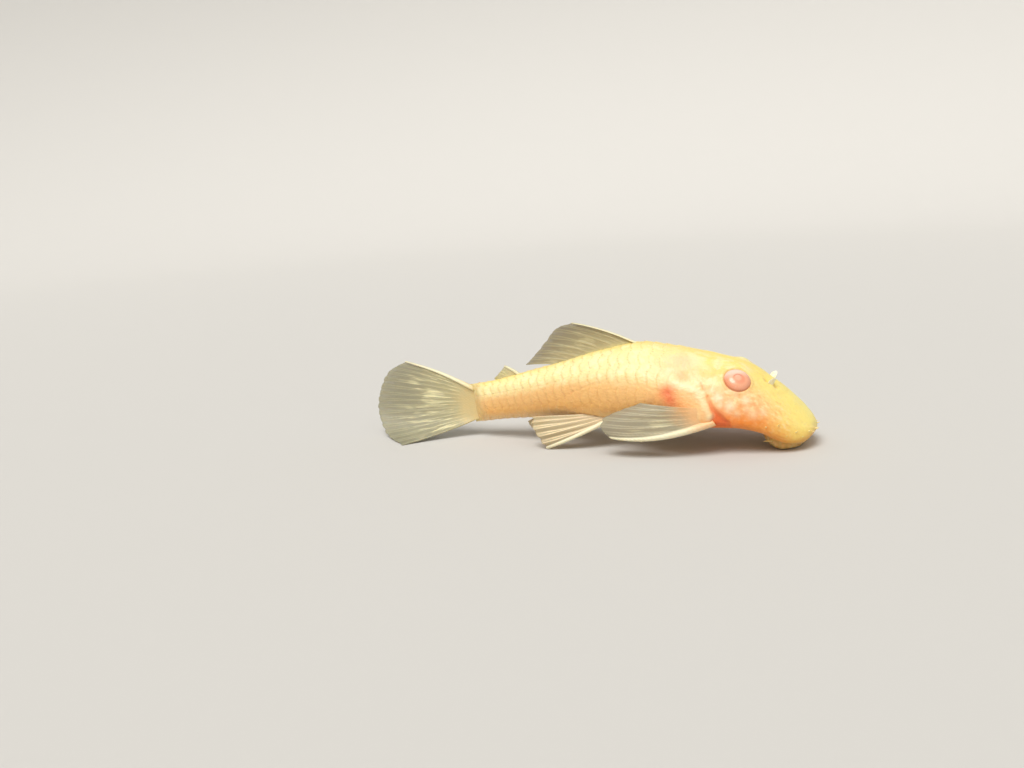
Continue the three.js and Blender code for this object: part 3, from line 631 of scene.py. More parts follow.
def skin_material():
    skin = Finish("skin")
    wander = skin.maths("SUBTRACT", skin.noise(2.6, 4), 0.5)
    share = skin.plus("share", skin.times(wander, 0.07), skin.times("pale", -0.012),
                      skin.between("station", 66, 86, 0, -0.055))
    station = skin.plus("station", skin.times(wander, 5))
    # The ground runs from the back down to the belly, in one way on the trunk, the head and the snout each.
    trunk, head, snout = (skin.ramp(share, tones) for tones in (TRUNK_TONES, HEAD_TONES, SNOUT_TONES_AND_SHADE))
    skin.tone = skin.mix(skin.between(station, 30, 38, 1, 0), trunk, head)
    # The snout's ramp darkens low down: painted shade near the floor, over the snout's own yellow
    skin.tone = skin.mix(skin.between(station, 5, 17, 0.9, 0), skin.tone, snout)
    skin.paint("e4c88c", skin.between(station, 93, 100, 0, 0.85))
    skin.paint("fabb82", "cheek", skin.between(skin.noise(1.1, 4), 0.3, 0.7, 0.3, 0.7))
    streaks = skin.streaks(skin.times("station", 1 / 1.5), skin.times("share", 1 / 0.03), 2)
    skin.paint("fde6ac", skin.between(streaks, 0.5, 0.68), "streaked", 0.6)
    skin.paint("ee9a58", skin.between(streaks, 0.32, 0.47, 1, 0), "streaked", 0.4)
    # Pale middles of the plates, clouds over the back, and dull and darker specks on it
    skin.paint("fff5c4", "pale", skin.between(share, 0.25, 0.42, 0.28, 0),
               skin.between(skin.noise(0.9), 0.4, 0.62))
    skin.paint("fff2c0", skin.between(skin.noise(1.5), 0.47, 0.62), skin.between(station, 16, 24),
               skin.between(share, 0.02, 0.08), skin.between(share, 0.32, 0.42, 1, 0), 0.55)
    skin.paint("d9cf9a", skin.between(skin.noise(0.5), 0.56, 0.7), skin.between(share, 0.3, 0.42, 0.22, 0))
    skin.paint("e4a45c", "edge", skin.between(share, 0.2, 0.6, 0.03, 0.06))
    patchy = skin.between(skin.noise(1.3), 0.3, 0.55, 0.7, 1)
    for label, weight, code in SKIN_MARKS:
        skin.paint(code, label, weight, patchy if label == "blush" else 1.0)
    grain = skin.ramp(skin.noise(0.35, 4, 0.6), [(0.3, "dcc09a"), (0.55, "ffffff")])
    tone = skin.mix(0.15, skin.tone, grain, "MULTIPLY")
    odontodes = skin.maths("SUBTRACT", 1, skin.cells(0.24, (1.6, 1, 1)))
    skin.bump((skin.noise(0.5, 4), 0.05), (odontodes, 0.045))
    return skin.set(base_color=tone, roughness=skin.between(skin.noise(0.6), 0.3, 0.7, 0.38, 0.56),
                    subsurface_weight=0.28, subsurface_radius=(1.0, 0.7, 0.36), subsurface_scale=0.0011,
                    specular_ior_level=0.45, coat_weight=0.15, coat_roughness=0.3)


build_skin(skin_material())


# Fins: fans of rays. A place on a fin is how far across it is, from the front ray at 0 to the last at 1, and
# how far along the rays, from their roots at 0 to their tips at 1.
ROOT_DEPTH = 0.7
MEMBRANE = 0.12
COLUMNS_A_RAY = 14
FIN_ROWS = 64
GROUND = 0.03  # lowest point of a fin that lies on the ground


def catmull_rom(points):
    """A centripetal Catmull-Rom curve, the same one that the solids follow."""
    points = np.asarray(points, float)
    ends = [2 * points[0] - points[1]], points, [2 * points[-1] - points[-2]]
    p = np.concatenate(ends)
    gaps = np.linalg.norm(np.diff(p, axis=0), axis=1) ** 0.5

    def at(t):
        scaled = np.clip(t, 0, 1) * (len(points) - 1)
        i = np.minimum(scaled.astype(int), len(points) - 2)
        w = (scaled - i)[..., None]
        p0, p1, p2, p3 = p[i], p[i + 1], p[i + 2], p[i + 3]
        d1 = np.where(gaps[i + 1] < 1e-4, 1, gaps[i + 1])[..., None]
        d0 = np.where(gaps[i] < 1e-4, d1[..., 0], gaps[i])[..., None]
        d2 = np.where(gaps[i + 2] < 1e-4, d1[..., 0], gaps[i + 2])[..., None]
        leave = ((p1 - p0) / d0 - (p2 - p0) / (d0 + d1) + (p2 - p1) / d1) * d1
        arrive = ((p2 - p1) / d1 - (p3 - p1) / (d1 + d2) + (p3 - p2) / d2) * d1
        return (p1 + leave * w + (-3 * p1 + 3 * p2 - 2 * leave - arrive) * w ** 2
                + (2 * p1 - 2 * p2 + leave + arrive) * w ** 3)

    return at


def fan(keys):
    """The middle surface of a fin through key rays, each a root, a tip and how far it bows."""
    roots, tips, bows = (np.array([key[k] for key in keys], float) for k in range(3))
    root_at, tip_at = catmull_rom(roots), catmull_rom(tips)
    bend_at = catmull_rom((roots + tips) / 2 + 2 * bows)

    def at(t, a):
        t, a = np.broadcast_arrays(t, a)
        a = a[..., None]
        return root_at(t) * (1 - a) ** 2 + 2 * a * (1 - a) * bend_at(t) + tip_at(t) * a ** 2

    return at


# Where the points across the front ray stand, in rays, closest together at its edge
FRONT_COLUMNS = (0, 0.015, 0.04, 0.08, 0.12, 0.17, 0.22, 0.28, 0.34, 0.4, 0.46, 0.54, 0.62, 0.7, 0.8, 0.9)


def fin_columns(rays):
    """Places across a fin, closer together at the front ray."""
    others = 1 + np.arange((rays - 2) * COLUMNS_A_RAY + 1) / COLUMNS_A_RAY
    return np.concatenate([FRONT_COLUMNS, others]) / (rays - 1)


def make_fin(name, material, keys, rays, spine, spine_width, ray=0.15, pleat=0.025, fray=0.012, tuft=0.0,
             rooting=(0.1, 0.34)):
    """A thin fin with branching rays. spine is the thickness of its front ray, spine_width its width at the
    root, and ray the thickness of the others. pleat is how deep the web hangs between rays, fray the share of
    its length by which the web's edge is cut in, tuft the height of the fine spines on the front ray, and
    rooting where the rays come out of the skin over the fin's root."""
    at = fan(keys)
    across = fin_columns(rays)
    along = np.linspace(0, 1, FIN_ROWS + 1)
    t, a = np.meshgrid(across, along, indexing="ij")
    place_in_rays = t * (rays - 1)
    offset = place_in_rays - np.round(place_in_rays)

    def spine_edge(a):
        """How many rays wide the front ray is, at a share along it."""
        spacing = np.linalg.norm(at(np.full(a.shape, 1 / (rays - 1)), a) - at(np.zeros(a.shape), a), axis=-1)
        return np.clip(spine_width * lerp(1, 0.6, a) / spacing, 0.2, 1.7)

    edge = spine_edge(a)
    soft = ease(0.8, 1.2, place_in_rays / edge)
    # Soft rays branch once and then again towards their tips.
    first = 0.17 * ease(0.3, 0.9, a) * soft
    second = 0.075 * ease(0.6, 1, a) * soft
    folded = np.abs(np.abs(np.abs(offset) - first) - second)
    ridge = bell(folded, lerp(0.12, 0.045, ease(0.1, 1, a))) * soft
    spined = (1 - soft) * np.sqrt(np.clip(1 - (place_in_rays / (edge * 0.55) - 1) ** 2, 0.04, 1))
    worn = 0.5 + 0.5 * np.sin(place_in_rays * 1.7 + 1.3 * len(name)) * np.sin(place_in_rays * 2.9)
    cut = 1 - fray * ((1 - ridge) * soft * (0.4 + 0.6 * np.abs(2 * offset)) + 1.2 * worn)
    a_cut = a * cut
    rooted = ease(*rooting, a)
    thickness = (MEMBRANE + ray * ridge * rooted * lerp(1, 0.32, a)
                 + spine * np.where(place_in_rays < edge * 1.2, spined, 0) * lerp(1, 0.5, a))
    thickness *= lerp(1, 0.45, ease(0.94, 1, a))
    thickness += 0.4 * bell(a, 0.16)
    reach = 0.01
    step_along = at(t, np.minimum(a_cut + reach, 1)) - at(t, np.maximum(a_cut - reach, 0))
    step_across = at(np.minimum(t + reach, 1), a_cut) - at(np.maximum(t - reach, 0), a_cut)
    out = unit(np.cross(step_along, step_across))
    web = pleat * np.sin(place_in_rays * math.pi * 2) * ease(0.05, 0.6, a) * soft * rooted
    ripple = 0.1 * np.sin(5.3 * a + 4 * t + len(name)) * ease(0.3, 1, a)
    middle = at(t, a_cut) + out * (web + ripple)[..., None]
    faces_out = [middle + out * (way * thickness / 2)[..., None] for way in (1, -1)]
    points = np.concatenate([side.reshape(-1, 3) for side in faces_out])
    points[:, 2] = np.maximum(points[:, 2], GROUND)
    columns, rows = t.shape
    quads = faces_of_grid(columns, rows)
    count = columns * rows
    walls = []
    borders = [np.arange(rows), np.arange(rows) + (columns - 1) * rows,
               np.arange(columns) * rows, np.arange(columns) * rows + rows - 1]
    for way, border in zip((-1, 1, 1, -1), borders):
        wall = np.stack([border[:-1], border[1:], border[1:] + count, border[:-1] + count], -1)
        walls.append(wall[:, ::way])
    faces = np.concatenate([quads, quads[:, ::-1] + count, *walls])
    if array_volume(points, faces) < 0:
        faces = faces[:, ::-1]
    masks = {"ray": np.maximum(ridge, np.minimum(spined * 1.4, 1)), "along": a, "across": t,
             "spine": 1 - ease(0.9, 1.3, place_in_rays / edge)}
    attributes = {label: np.tile(field.ravel(), 2) for label, field in masks.items()}
    make_piece(name + "_web", points, faces, material, (name,), attributes)
    if tuft:
        add_tufts(name, material, at, lambda a: spine_edge(a) / (rays - 1), spine, tuft)


def spines(name, material, roots, leans, lengths, width, sides=4, rings=2, bends=None, taper=(1.5, 0.5),
           level=None, attributes=()):
    """Many small pointed spines in one piece. Each has a root, a direction, a length and, in bends, where it
    bends to. taper says how a spine narrows, and level sets where the corners round it start."""
    count = len(roots)
    lengths = np.broadcast_to(lengths, count)
    bends = np.zeros((count, 3)) if bends is None else bends
    turn = np.arange(sides) * 2 * math.pi / sides
    share = np.arange(rings + 1)[:, None] / rings
    radius = width * (1 - share[:-1, None] ** taper[0]) ** taper[1]
    last, tip = (rings - 1) * sides, rings * sides
    one = [*faces_of_grid(rings, sides, closed=True).tolist(),
           *((last + i, last + (i + 1) % sides, tip) for i in range(sides)), tuple(reversed(range(sides)))]
    points, faces = [], []
    for root, lean, bend, length in zip(roots, leans, bends, lengths):
        lean = unit(lean)
        steady = UP if abs(lean[2]) < 0.9 else np.array([1.0, 0, 0])
        flat = unit(np.cross(lean, steady if level is None else level))
        circle = np.cos(turn)[:, None] * flat + np.sin(turn)[:, None] * np.cross(lean, flat)
        middle = root + (lean * share + bend * share ** 2) * length
        faces.extend([len(points) + corner for corner in face] for face in one)
        points.extend((middle[:-1, None] + circle * radius).reshape(-1, 3))
        points.append(middle[-1])
    values = {label: np.full(len(points), value) for label, value in attributes}
    make_piece(name, points, faces, material, attributes=values)


TUFT_SPINES = 150  # on a front ray


def add_tufts(name, material, at, spine_edge, spine, height):
    """Fine spines on a fin's front ray, on its outer face and edge."""
    random = np.random.default_rng(len(name))
    roots, leans = [], []
    for share in np.sort(random.random(TUFT_SPINES)):
        a = np.array(0.08 + 0.9 * share)
        t = random.random() * 0.8 * spine_edge(a)
        along = unit(at(t, np.minimum(a + 0.01, 1)) - at(t, a - 0.01))
        over = at(t + 0.01, a) - at(t, a)
        out = unit(np.cross(along, over)) * random.choice([-1, 1])
        edge = -unit(over)
        roots.append(at(t, a) + out * spine * 0.2 * lerp(1, 0.5, a))
        leans.append(along + out * 0.6 + edge * 0.5 * random.random())
    lengths = height * (0.7 + 0.6 * random.random(TUFT_SPINES))
    spines(name + "_odontodes", material, roots, leans, lengths, 0.045,
           attributes=[("ray", 1), ("spine", 1), ("along", 0.3), ("across", 0)])


def on_back(station):
    return place(station, 0, top_height(station) - ROOT_DEPTH)


def on_belly(station):
    return place(station, 0, belly_height(station) + ROOT_DEPTH)


def dorsal_fin(material):
    keys = [
        (on_back(46.5), (-1.8, -2.6, 17.5), (0, 0, 0.5)),
        (on_back(52), (-4.4, -2.5, 16.6), (0, 0.2, 0.5)),
        (on_back(58), (-6, -2.4, 14.8), (0, 0.3, 0.4)),
        (on_back(63.5), (-7.8, -2.5, 12.8), (0, 0.3, 0.3)),
        (on_back(69), (-9.3, -2.7, 11.2), (0, 0.1, 0.2)),
    ]
    make_fin("dorsal_fin", material, keys, rays=8, spine=0.75, spine_width=0.5)


def adipose_fin(material):
    keys = [
        (on_back(82), (-12.8, -2.2, 11.1), (0, 0, 0.25)),
        (on_back(85.5), (-13.6, -2.2, 10.1), (0, 0, 0.1)),
        (on_back(89.5), (-14.6, -2.1, 9.1), (0, 0, 0)),
    ]
    make_fin("adipose_fin", material, keys, rays=3, spine=0.6, spine_width=0.5, ray=0.1, pleat=0.03)


def anal_fin(material):
    keys = [
        (on_belly(73.5), (-7.7, -3, 1.4), (0, 0, -0.2)),
        (on_belly(75.5), (-8.9, -2.9, 1.8), (0, 0, -0.2)),
        (on_belly(78), (-9.4, -2.8, 2.7), (0, 0, -0.1)),
    ]
    make_fin("anal_fin", material, keys, rays=5, spine=0.5, spine_width=0.35, pleat=0.05)


def paired_fin(name, side, material, key_rays, spread=0.0, **shape):
    """A fin on one side. A key ray has the station, the place out from the middle and the height of its root,
    the places along, out and up of its tip, and how far it bows out and up."""
    keys = []
    for station, root_out, height, x, tip_out, z, bow_out, bow_up in key_rays:
        tip = (x, BODY_MIDDLE + side * (tip_out + spread), z)
        keys.append((place(station, side * root_out, height), tip, (0, side * bow_out, bow_up)))
    make_fin(name, material, keys, **shape)


def pectoral_fin(name, side, material):
    key_rays = [
        (25.5, 7.6, 1.9, 6, 9.8, 2.7, 1.4, -0.8),
        (26.5, 7.9, 2.5, 4.3, 9.2, 4, 1.4, -0.5),
        (27.5, 8, 3, 4.5, 8.7, 5.3, 1.4, -0.2),
        (28.5, 8, 3.5, 6.9, 8.4, 6.5, 1.4, 0),
        (29.5, 7.9, 3.9, 9.9, 8.2, 7.5, 1.3, 0.1),
    ]
    paired_fin(f"pectoral_fin_{name}", side, material, key_rays, rays=7, spine=1.0, spine_width=1.0, ray=0.1,
               pleat=0.015, tuft=0.26, rooting=(0.16, 0.45))


LEFT_PELVIC_SPREAD = 0.9  # how much further out the left pelvic fin's tips lie


def pelvic_fin(name, side, material):
    key_rays = [
        (53, 3.6, 0.5, -4.7, 6.1, 0, 0.6, -0.2),
        (53.7, 3.5, 0.7, -6, 6.1, 1.7, 0.6, -0.1),
        (54.4, 3.3, 0.9, -7, 5.5, 3.3, 0.5, 0),
        (55.2, 3.1, 1, -7.2, 4.4, 4.4, 0.4, 0),
    ]
    paired_fin(f"pelvic_fin_{name}", side, material, key_rays, 0 if side < 0 else LEFT_PELVIC_SPREAD, rays=6,
               spine=0.8, spine_width=0.7, ray=0.24, pleat=0.1, fray=0.015, tuft=0.16)


def caudal_fin(material):
    def root(share):
        return place(98.8, 0, lerp(top_height(100) - 0.5, belly_height(100) + 0.5, share))

    keys = [
        (root(0), (-29.5, -1.1, 11.6), (0, 0, 0.4)),
        (root(0.2), (-32.8, -1, 9.8), (0, 0, 0.3)),
        (root(0.4), (-34.7, -1, 6.5), (0, 0, 0)),
        (root(0.6), (-34.9, -1.4, 3.4), (0, 0, -0.1)),
        (root(0.8), (-32.8, -3.8, 0.8), (0, 0.3, -0.3)),
        (root(1), (-27.6, -8.9, 0), (0, 0.9, -0.3)),
    ]
    make_fin("caudal_fin", material, keys, rays=16, spine=0.7, spine_width=0.55, ray=0.1, pleat=0.012,
             fray=0.008)


def fin_material(name, web, ray, edge, base, rays_shown=0.5, gleam=0.5, base_reach=0.3, clear=0.7, skew=0.0,
                 dusk=0.0):
    """A translucent web between pale rays, darker at the edge and, by dusk, towards the last ray. base is the
    colour of its root, which fades out at base_reach along the first ray, and further along the last one by
    skew. rays_shown is how much paler the rays are, gleam how bright the pale streaks between them are, which
    are painted highlights, and clear how opaque the web is."""
    fin = Finish(name)
    cloudy = fin.noise(1.4, 4)
    far = fin.plus("along", fin.times("across", dusk), fin.times(cloudy, 0.3))
    fin.tone = fin.mix(fin.between(far, 0.4, 1.1), colour(web), colour(edge))
    grain = fin.streaks(fin.times("across", 26), fin.times("along", 3.5))
    # Painted highlights: pale streaks along the middle of the fin, as bright as gleam
    fin.paint("f2e9bd", fin.between(grain, 0.5, 0.66), fin.between("along", 0.12, 0.3),
              fin.between("along", 0.55, 0.85, 1, 0), gleam)
    fin.paint(edge, fin.between(grain, 0.3, 0.46, 1, 0), 0.2)
    fin.paint(ray, fin.between("ray", 0.2, 0.9), rays_shown)
    fin.paint("faf2cf", "spine", 0.85)
    rooted = fin.plus("along", fin.times("across", -skew), fin.times(cloudy, 0.25))
    fin.paint(base, fin.between(rooted, 0.05, base_reach + 0.05, 0.9, 0))
    joints = fin.maths("SINE", fin.times("along", 150))
    fin.bump((fin.times(joints, "ray"), 0.015), (fin.noise(0.3), 0.015))
    opaque = fin.plus(fin.between("ray", 0.1, 0.8, clear, 0.9), fin.times(cloudy, 0.2),
                      fin.between("along", 0, 0.3, 0.4, 0))
    opaque = fin.maths("ADD", opaque, fin.between("along", 0.75, 1, 0, -0.2), clamp=True)
    return fin.set(base_color=fin.tone, alpha=opaque, roughness=0.42, subsurface_weight=0.25,
                   subsurface_radius=(1, 0.7, 0.4), subsurface_scale=0.0005, specular_ior_level=0.4)


def build_fins():
    dorsal_fin(fin_material("dorsal_fin", "b4a87e", "cabe90", "9c9378", "e2d484", 0.2, 0.35))
    adipose_fin(fin_material("adipose_fin", "dcd09a", "eae0ac", "d2c898", "f4e49c", 0.2, 0.2, clear=0.6))
    caudal_fin(fin_material("tail_fin", "c8bf94", "d8cea0", "a4a086", "e6c98c", 0.15, 1.0, 0.4, dusk=0.35))
    pectoral = fin_material("pectoral_fins", "b8ae92", "d4caaa", "aaa188", "f8c084", 0.2, 0.6, 0.36, skew=0.3)
    pelvic = fin_material("pelvic_fins", "dcc49e", "fde6bc", "cab892", "f8c484", 0.8, 0.3)
    anal_fin(pelvic)
    for name, side in SIDES.items():
        pectoral_fin(name, side, pectoral)
        pelvic_fin(name, side, pelvic)


# Eyes
EYE_ROUND = 112
EYE_RINGS = 64
CORNEA_FLATTENING = 0.12


EYE_TONES = [(0.2, "f4a07a"), (0.45, "f8b08a"), (0.66, "f6a984"), (0.8, "ee9a70"), (0.92, "e28a62")]


def eye_material():
    eye = Finish("eye")
    # The eye looks up past the camera, so its rings of colour lie a little under its middle.
    radius = eye.distance("eye_across", eye.plus("eye_up", 0.16))
    angle = eye.maths("ARCTAN2", "eye_up", "eye_across")
    fibres = eye.maths("SINE", eye.plus(eye.times(angle, 46), eye.times(eye.noise(0.4), 9)))
    eye.tone = eye.ramp(radius, EYE_TONES)
    eye.paint("fbd3b8", eye.between(fibres, 0, 1), 0.15)
    # Painted highlight: the top of the eye whitened, as light from above would make it
    eye.paint("fdeadb", eye.between("eye_up", -0.1, 0.6, 0, 0.65))
    eye.paint("fdeadc", eye.between(eye.cells(0.34), 0.06, 0.16, 0.5, 0), eye.between(radius, 0.42, 0.56))
    # The pupil is a horseshoe under a flap that hangs from its top, with a fine dark line round the flap.
    in_flap = eye.distance(eye.times(eye.plus("eye_across", 0.05), 1 / 0.27),
                           eye.times(eye.plus("eye_up", 0.08), 1 / 0.26))
    eye.paint("ea7c5a", eye.between(radius, 0.36, 0.52, 1, 0), eye.between(in_flap, 0.85, 1.25), 0.35)
    eye.paint("fad9c4", eye.between(in_flap, 0.5, 1.1, 1, 0), 0.25)
    off_line = eye.maths("ABSOLUTE", eye.plus(in_flap, -1.05))
    eye.paint("b8624e", eye.between(off_line, 0.05, 0.3, 1, 0), eye.between("eye_up", -0.1, 0.1), 0.45)
    # Painted shade: the eyeball darker round its edge, where it meets the skin
    eye.paint("cf7c50", eye.between("eye_out", 0.36, 0.47, 0.7, 0))
    eye.bump((eye.noise(0.5, 2), 0.01))
    return eye.set(base_color=eye.tone, roughness=0.3, subsurface_weight=0.12,
                   subsurface_radius=(1, 0.5, 0.35), subsurface_scale=0.0006, coat_weight=0.5,
                   coat_roughness=0.2, specular_ior_level=0.4)


def build_eye(name, side, material):
    point, out = eye_frame(side)
    forward = directions_at(EYE_STATION)[0]
    up = unit(UP - out * np.dot(UP, out))
    across = unit(np.cross(out, up))
    if np.dot(across, forward) < 0:
        across = -across
    polar = np.linspace(0.01, math.pi - 0.01, EYE_RINGS)
    turn = np.arange(EYE_ROUND) * 2 * math.pi / EYE_ROUND
    polar, turn = np.meshgrid(polar, turn, indexing="ij")
    flat_across, flat_up, flat_out = np.sin(polar) * np.cos(turn), np.sin(polar) * np.sin(turn), np.cos(polar)
    # The cornea is flatter than the rest of the eyeball.
    bulge = 1 - CORNEA_FLATTENING * bell(polar, 0.7)
    middle = point - out * EYE_SINK
    rings = (middle + EYE_RADIUS * (flat_across[..., None] * across + flat_up[..., None] * up)
             + (EYE_DEPTH * flat_out * bulge)[..., None] * out)
    points, faces = tube(rings, middle + out * EYE_DEPTH * (1 - CORNEA_FLATTENING), middle - out * EYE_DEPTH)
    visible = {"eye_across": flat_across, "eye_up": flat_up, "eye_out": flat_out}
    ends = {"eye_across": (0, 0), "eye_up": (0, 0), "eye_out": (1, -1)}
    attributes = {label: np.append(field.ravel(), ends[label]) for label, field in visible.items()}
    make_piece(f"eye_{name}_ball", points, faces, material, (f"eye_{name}",), attributes)


def build_eyes():
    material = eye_material()
    for name, side in SIDES.items():
        build_eye(name, side, material)


# Mouth: a sucker disc of soft lips with warts, two rows of teeth and a barbel at each corner
DISC_STATION = 7.9
DISC_LENGTH = 5.9
DISC_WIDTH = 8.6
LIP_FLOOR = 0.06
DISC_MIDDLE = place(DISC_STATION, 0, 0)
# Rings from the disc's top to the inside of the mouth: a share of the disc, a height and the rear's lift
DISC_RINGS = [(0.8, 3.4, 0), (0.9, 2.2, 0.8), (0.96, 1.3, 1.5), (1.0, 0.7, 1.7), (0.98, 0.3, 1.6),
              (0.93, 0.12, 1.3), (0.84, LIP_FLOOR, 0.9), (0.7, LIP_FLOOR, 0.5), (0.56, LIP_FLOOR, 0.3),
              (0.48, 0.12, 0.2), (0.42, 0.3, 0.1), (0.36, 0.6, 0), (0.2, 0.8, 0)]
LIP_POINTS = 168
LIP_RINGS = 72


def build_mouth(material):
    forward, left, _ = directions_at(0)
    controls = np.array(DISC_RINGS)
    at = np.linspace(0, len(controls) - 1, LIP_RINGS)
    profile = catmull_rom(controls)(at / (len(controls) - 1))
    share, height, lift = (profile[:, k][:, None] for k in range(3))
    turn = (np.arange(LIP_POINTS) * 2 * math.pi / LIP_POINTS)[None, :]
    rear = np.maximum(-np.cos(turn), 0)
    scallop = 1 + 0.012 * np.sin(turn * 19) * ease(0.8, 1, share)
    lip = bell(share - 0.7, 0.17) * ease(0, 0.4, 0.5 - height)
    wart = np.maximum(np.sin(turn * 34 + (at[:, None] * 3.4 // math.pi % 2) * math.pi / 2), 0)
    wart = wart * np.abs(np.sin(at[:, None] * 3.4))
    z = height + lift * rear ** 2 + lip * 0.12 * (1 - wart)
    flat = (DISC_MIDDLE[:2] + (np.cos(turn) * share * scallop)[..., None] * forward[:2] * DISC_LENGTH / 2
            + (np.sin(turn) * share * scallop)[..., None] * left[:2] * DISC_WIDTH / 2)
    rings = np.concatenate([flat, np.broadcast_to(np.maximum(z, GROUND), flat.shape[:2])[..., None]], -1)
    points, faces = tube(rings, [*DISC_MIDDLE[:2], 3.4], [*DISC_MIDDLE[:2], 0.85])
    warts = np.append((lip * wart).ravel(), (0, 0))
    inner = np.append((1 - ease(0.34, 0.52, share) + 0 * turn).ravel(), (0, 1))
    make_piece("lips", points, faces, material, ("sucker_mouth",), {"wart": warts, "inner": inner})


def mouth_material():
    lips = Finish("lips")
    lips.tone = lips.mix(lips.between(lips.noise(0.9), 0.35, 0.7), colour("f2bf6a"), colour("f8d48e"))
    lips.paint("fae0c4", "wart")
    lips.paint("c25a45", "inner", 0.7)
    lips.bump((lips.noise(0.25), 0.03))
    return lips.set(base_color=lips.tone, roughness=0.42, subsurface_weight=0.4,
                    subsurface_radius=(1, 0.4, 0.25), subsurface_scale=0.0012, coat_weight=0.2,
                    coat_roughness=0.25)


TEETH_A_ROW = 22
TEETH_ROW = 2.1  # length of a row
TOOTH_ROOT = 0.75  # over the floor
TOOTH_LENGTH = 0.5


def build_teeth(material):
    forward, left, _ = directions_at(0)
    roots, leans = [], []
    for way in (-1, 1):
        for i in range(TEETH_A_ROW):
            sideways = lerp(-0.5, 0.5, i / (TEETH_A_ROW - 1))
            curve = 0.28 * way * (2 * sideways) ** 2
            root = DISC_MIDDLE + left * sideways * TEETH_ROW + forward * (way * 0.62 - curve)
            roots.append(np.array([root[0], root[1], TOOTH_ROOT]))
            leans.append(-UP - forward * way * 0.35)
    spines("teeth", material, roots, leans, TOOTH_LENGTH, 0.05, sides=5, rings=3)


def teeth_material():
    teeth = Finish("teeth")
    tone = teeth.ramp(teeth.noise(0.2), [(0.3, "e8c27a"), (0.7, "f7e6bd")])
    return teeth.set(base_color=tone, roughness=0.3)


def stalks(name, material, roots, leans, bends, lengths, width):
    """Soft round spines that bend and taper evenly."""
    spines(name, material, roots, leans, lengths, width, sides=10, rings=8, bends=bends, taper=(1.3, 1),
           level=UP + 0.01)


BRISTLES_A_SIDE = 9
BRISTLE_LENGTH = 0.55
BRISTLE_SINK = 0.15
BRISTLE_STATIONS = (0.35, 12.8)
BRISTLE_SHARES = (0.5, 0.44)


def build_bristles(material):
    up = directions_at(0)[2]
    roots, leans, lengths = [], [], []
    for side in SIDES.values():
        for i in range(BRISTLES_A_SIDE):
            station = lerp(*BRISTLE_STATIONS, (i / (BRISTLES_A_SIDE - 1)) ** 2)
            share = BRISTLE_SHARES[i % 2]
            out = outward(np.array(station), np.array(share), side)
            roots.append(surface(station, share, side) - out * BRISTLE_SINK)
            leans.append(out + up * 0.25)
            lengths.append(BRISTLE_LENGTH * (1 + 0.25 * math.sin(3.1 * i + side)) + BRISTLE_SINK)
    stalks("snout_bristles", material, roots, leans, [up * 0.2] * len(roots), lengths, 0.15)


BARBEL_LENGTH = 1.4
BARBEL_ROOT = 0.95  # over the floor


def build_barbels(material):
    forward, left, _ = directions_at(0)
    middle = np.array([*DISC_MIDDLE[:2], BARBEL_ROOT]) - forward * 1.2
    ways = [left * side for side in SIDES.values()]
    leans = [way - forward * 1.6 - UP * 0.35 for way in ways]
    roots = [middle + way * 3.4 for way in ways]
    stalks("barbels", material, roots, leans, [-forward * 0.15] * len(ways), BARBEL_LENGTH, 0.28)


def soft_skin_material(name, low, high):
    soft = Finish(name)
    tone = soft.mix(soft.between(soft.noise(0.5), 0.3, 0.7), colour(low), colour(high))
    soft.bump((soft.noise(0.2), 0.02))
    return soft.set(base_color=tone, roughness=0.5, subsurface_weight=0.1, subsurface_radius=(1, 0.7, 0.5),
                    subsurface_scale=0.0005)


# Nostril flaps: a thin leaf of skin that stands up between each pair of openings
FLAP_HEIGHT = 1.15
FLAP_WIDTH = 0.6
FLAP_THICK = 0.1
FLAP_TURN = math.radians(40)  # of the leaf, out of the line across the snout


def build_flaps(material):
    for name, side in SIDES.items():
        point = surface(NOSTRIL_STATION, NOSTRIL_SHARE, side)
        out = unit(outward(np.array(NOSTRIL_STATION), np.array(NOSTRIL_SHARE), side) + UP)
        leftward = unit(np.cross(out, directions_at(NOSTRIL_STATION)[0]))
        ahead = np.cross(leftward, out)
        across = math.cos(FLAP_TURN) * leftward - side * math.sin(FLAP_TURN) * ahead
        forward = unit(np.cross(across, out))
        rise = np.linspace(0, 1, 22)[:, None]
        turn = (np.arange(32) * 2 * math.pi / 32)[None, :]
        wide = FLAP_WIDTH * np.sqrt(1 - (rise * 0.995) ** 2.6) * (0.8 + 0.35 * np.sin(rise * 2.6))
        thick = FLAP_THICK * (1.5 - rise) * np.sqrt(1 - (rise * 0.995) ** 6)
        cup = 0.3 * (wide * np.cos(turn)) ** 2
        leaned = 0.12 * rise + 0.12 * rise ** 2
        rings = (point + ((rise * FLAP_HEIGHT - 0.3) + 0 * turn)[..., None] * out
                 + (wide * np.cos(turn))[..., None] * across
                 + (thick * np.sin(turn) + leaned * FLAP_HEIGHT - cup)[..., None] * forward)
        foot = point - out * 0.3
        tip = rings[-1].mean(axis=0)
        points, faces = tube(rings, foot, tip)
        make_piece(f"nostril_flap_{name}", points, faces, material)


# Odontodes: fine spines along the rear edges of the plates
ODONTODES_A_PLATE = 6
ODONTODE_LENGTH = 0.18


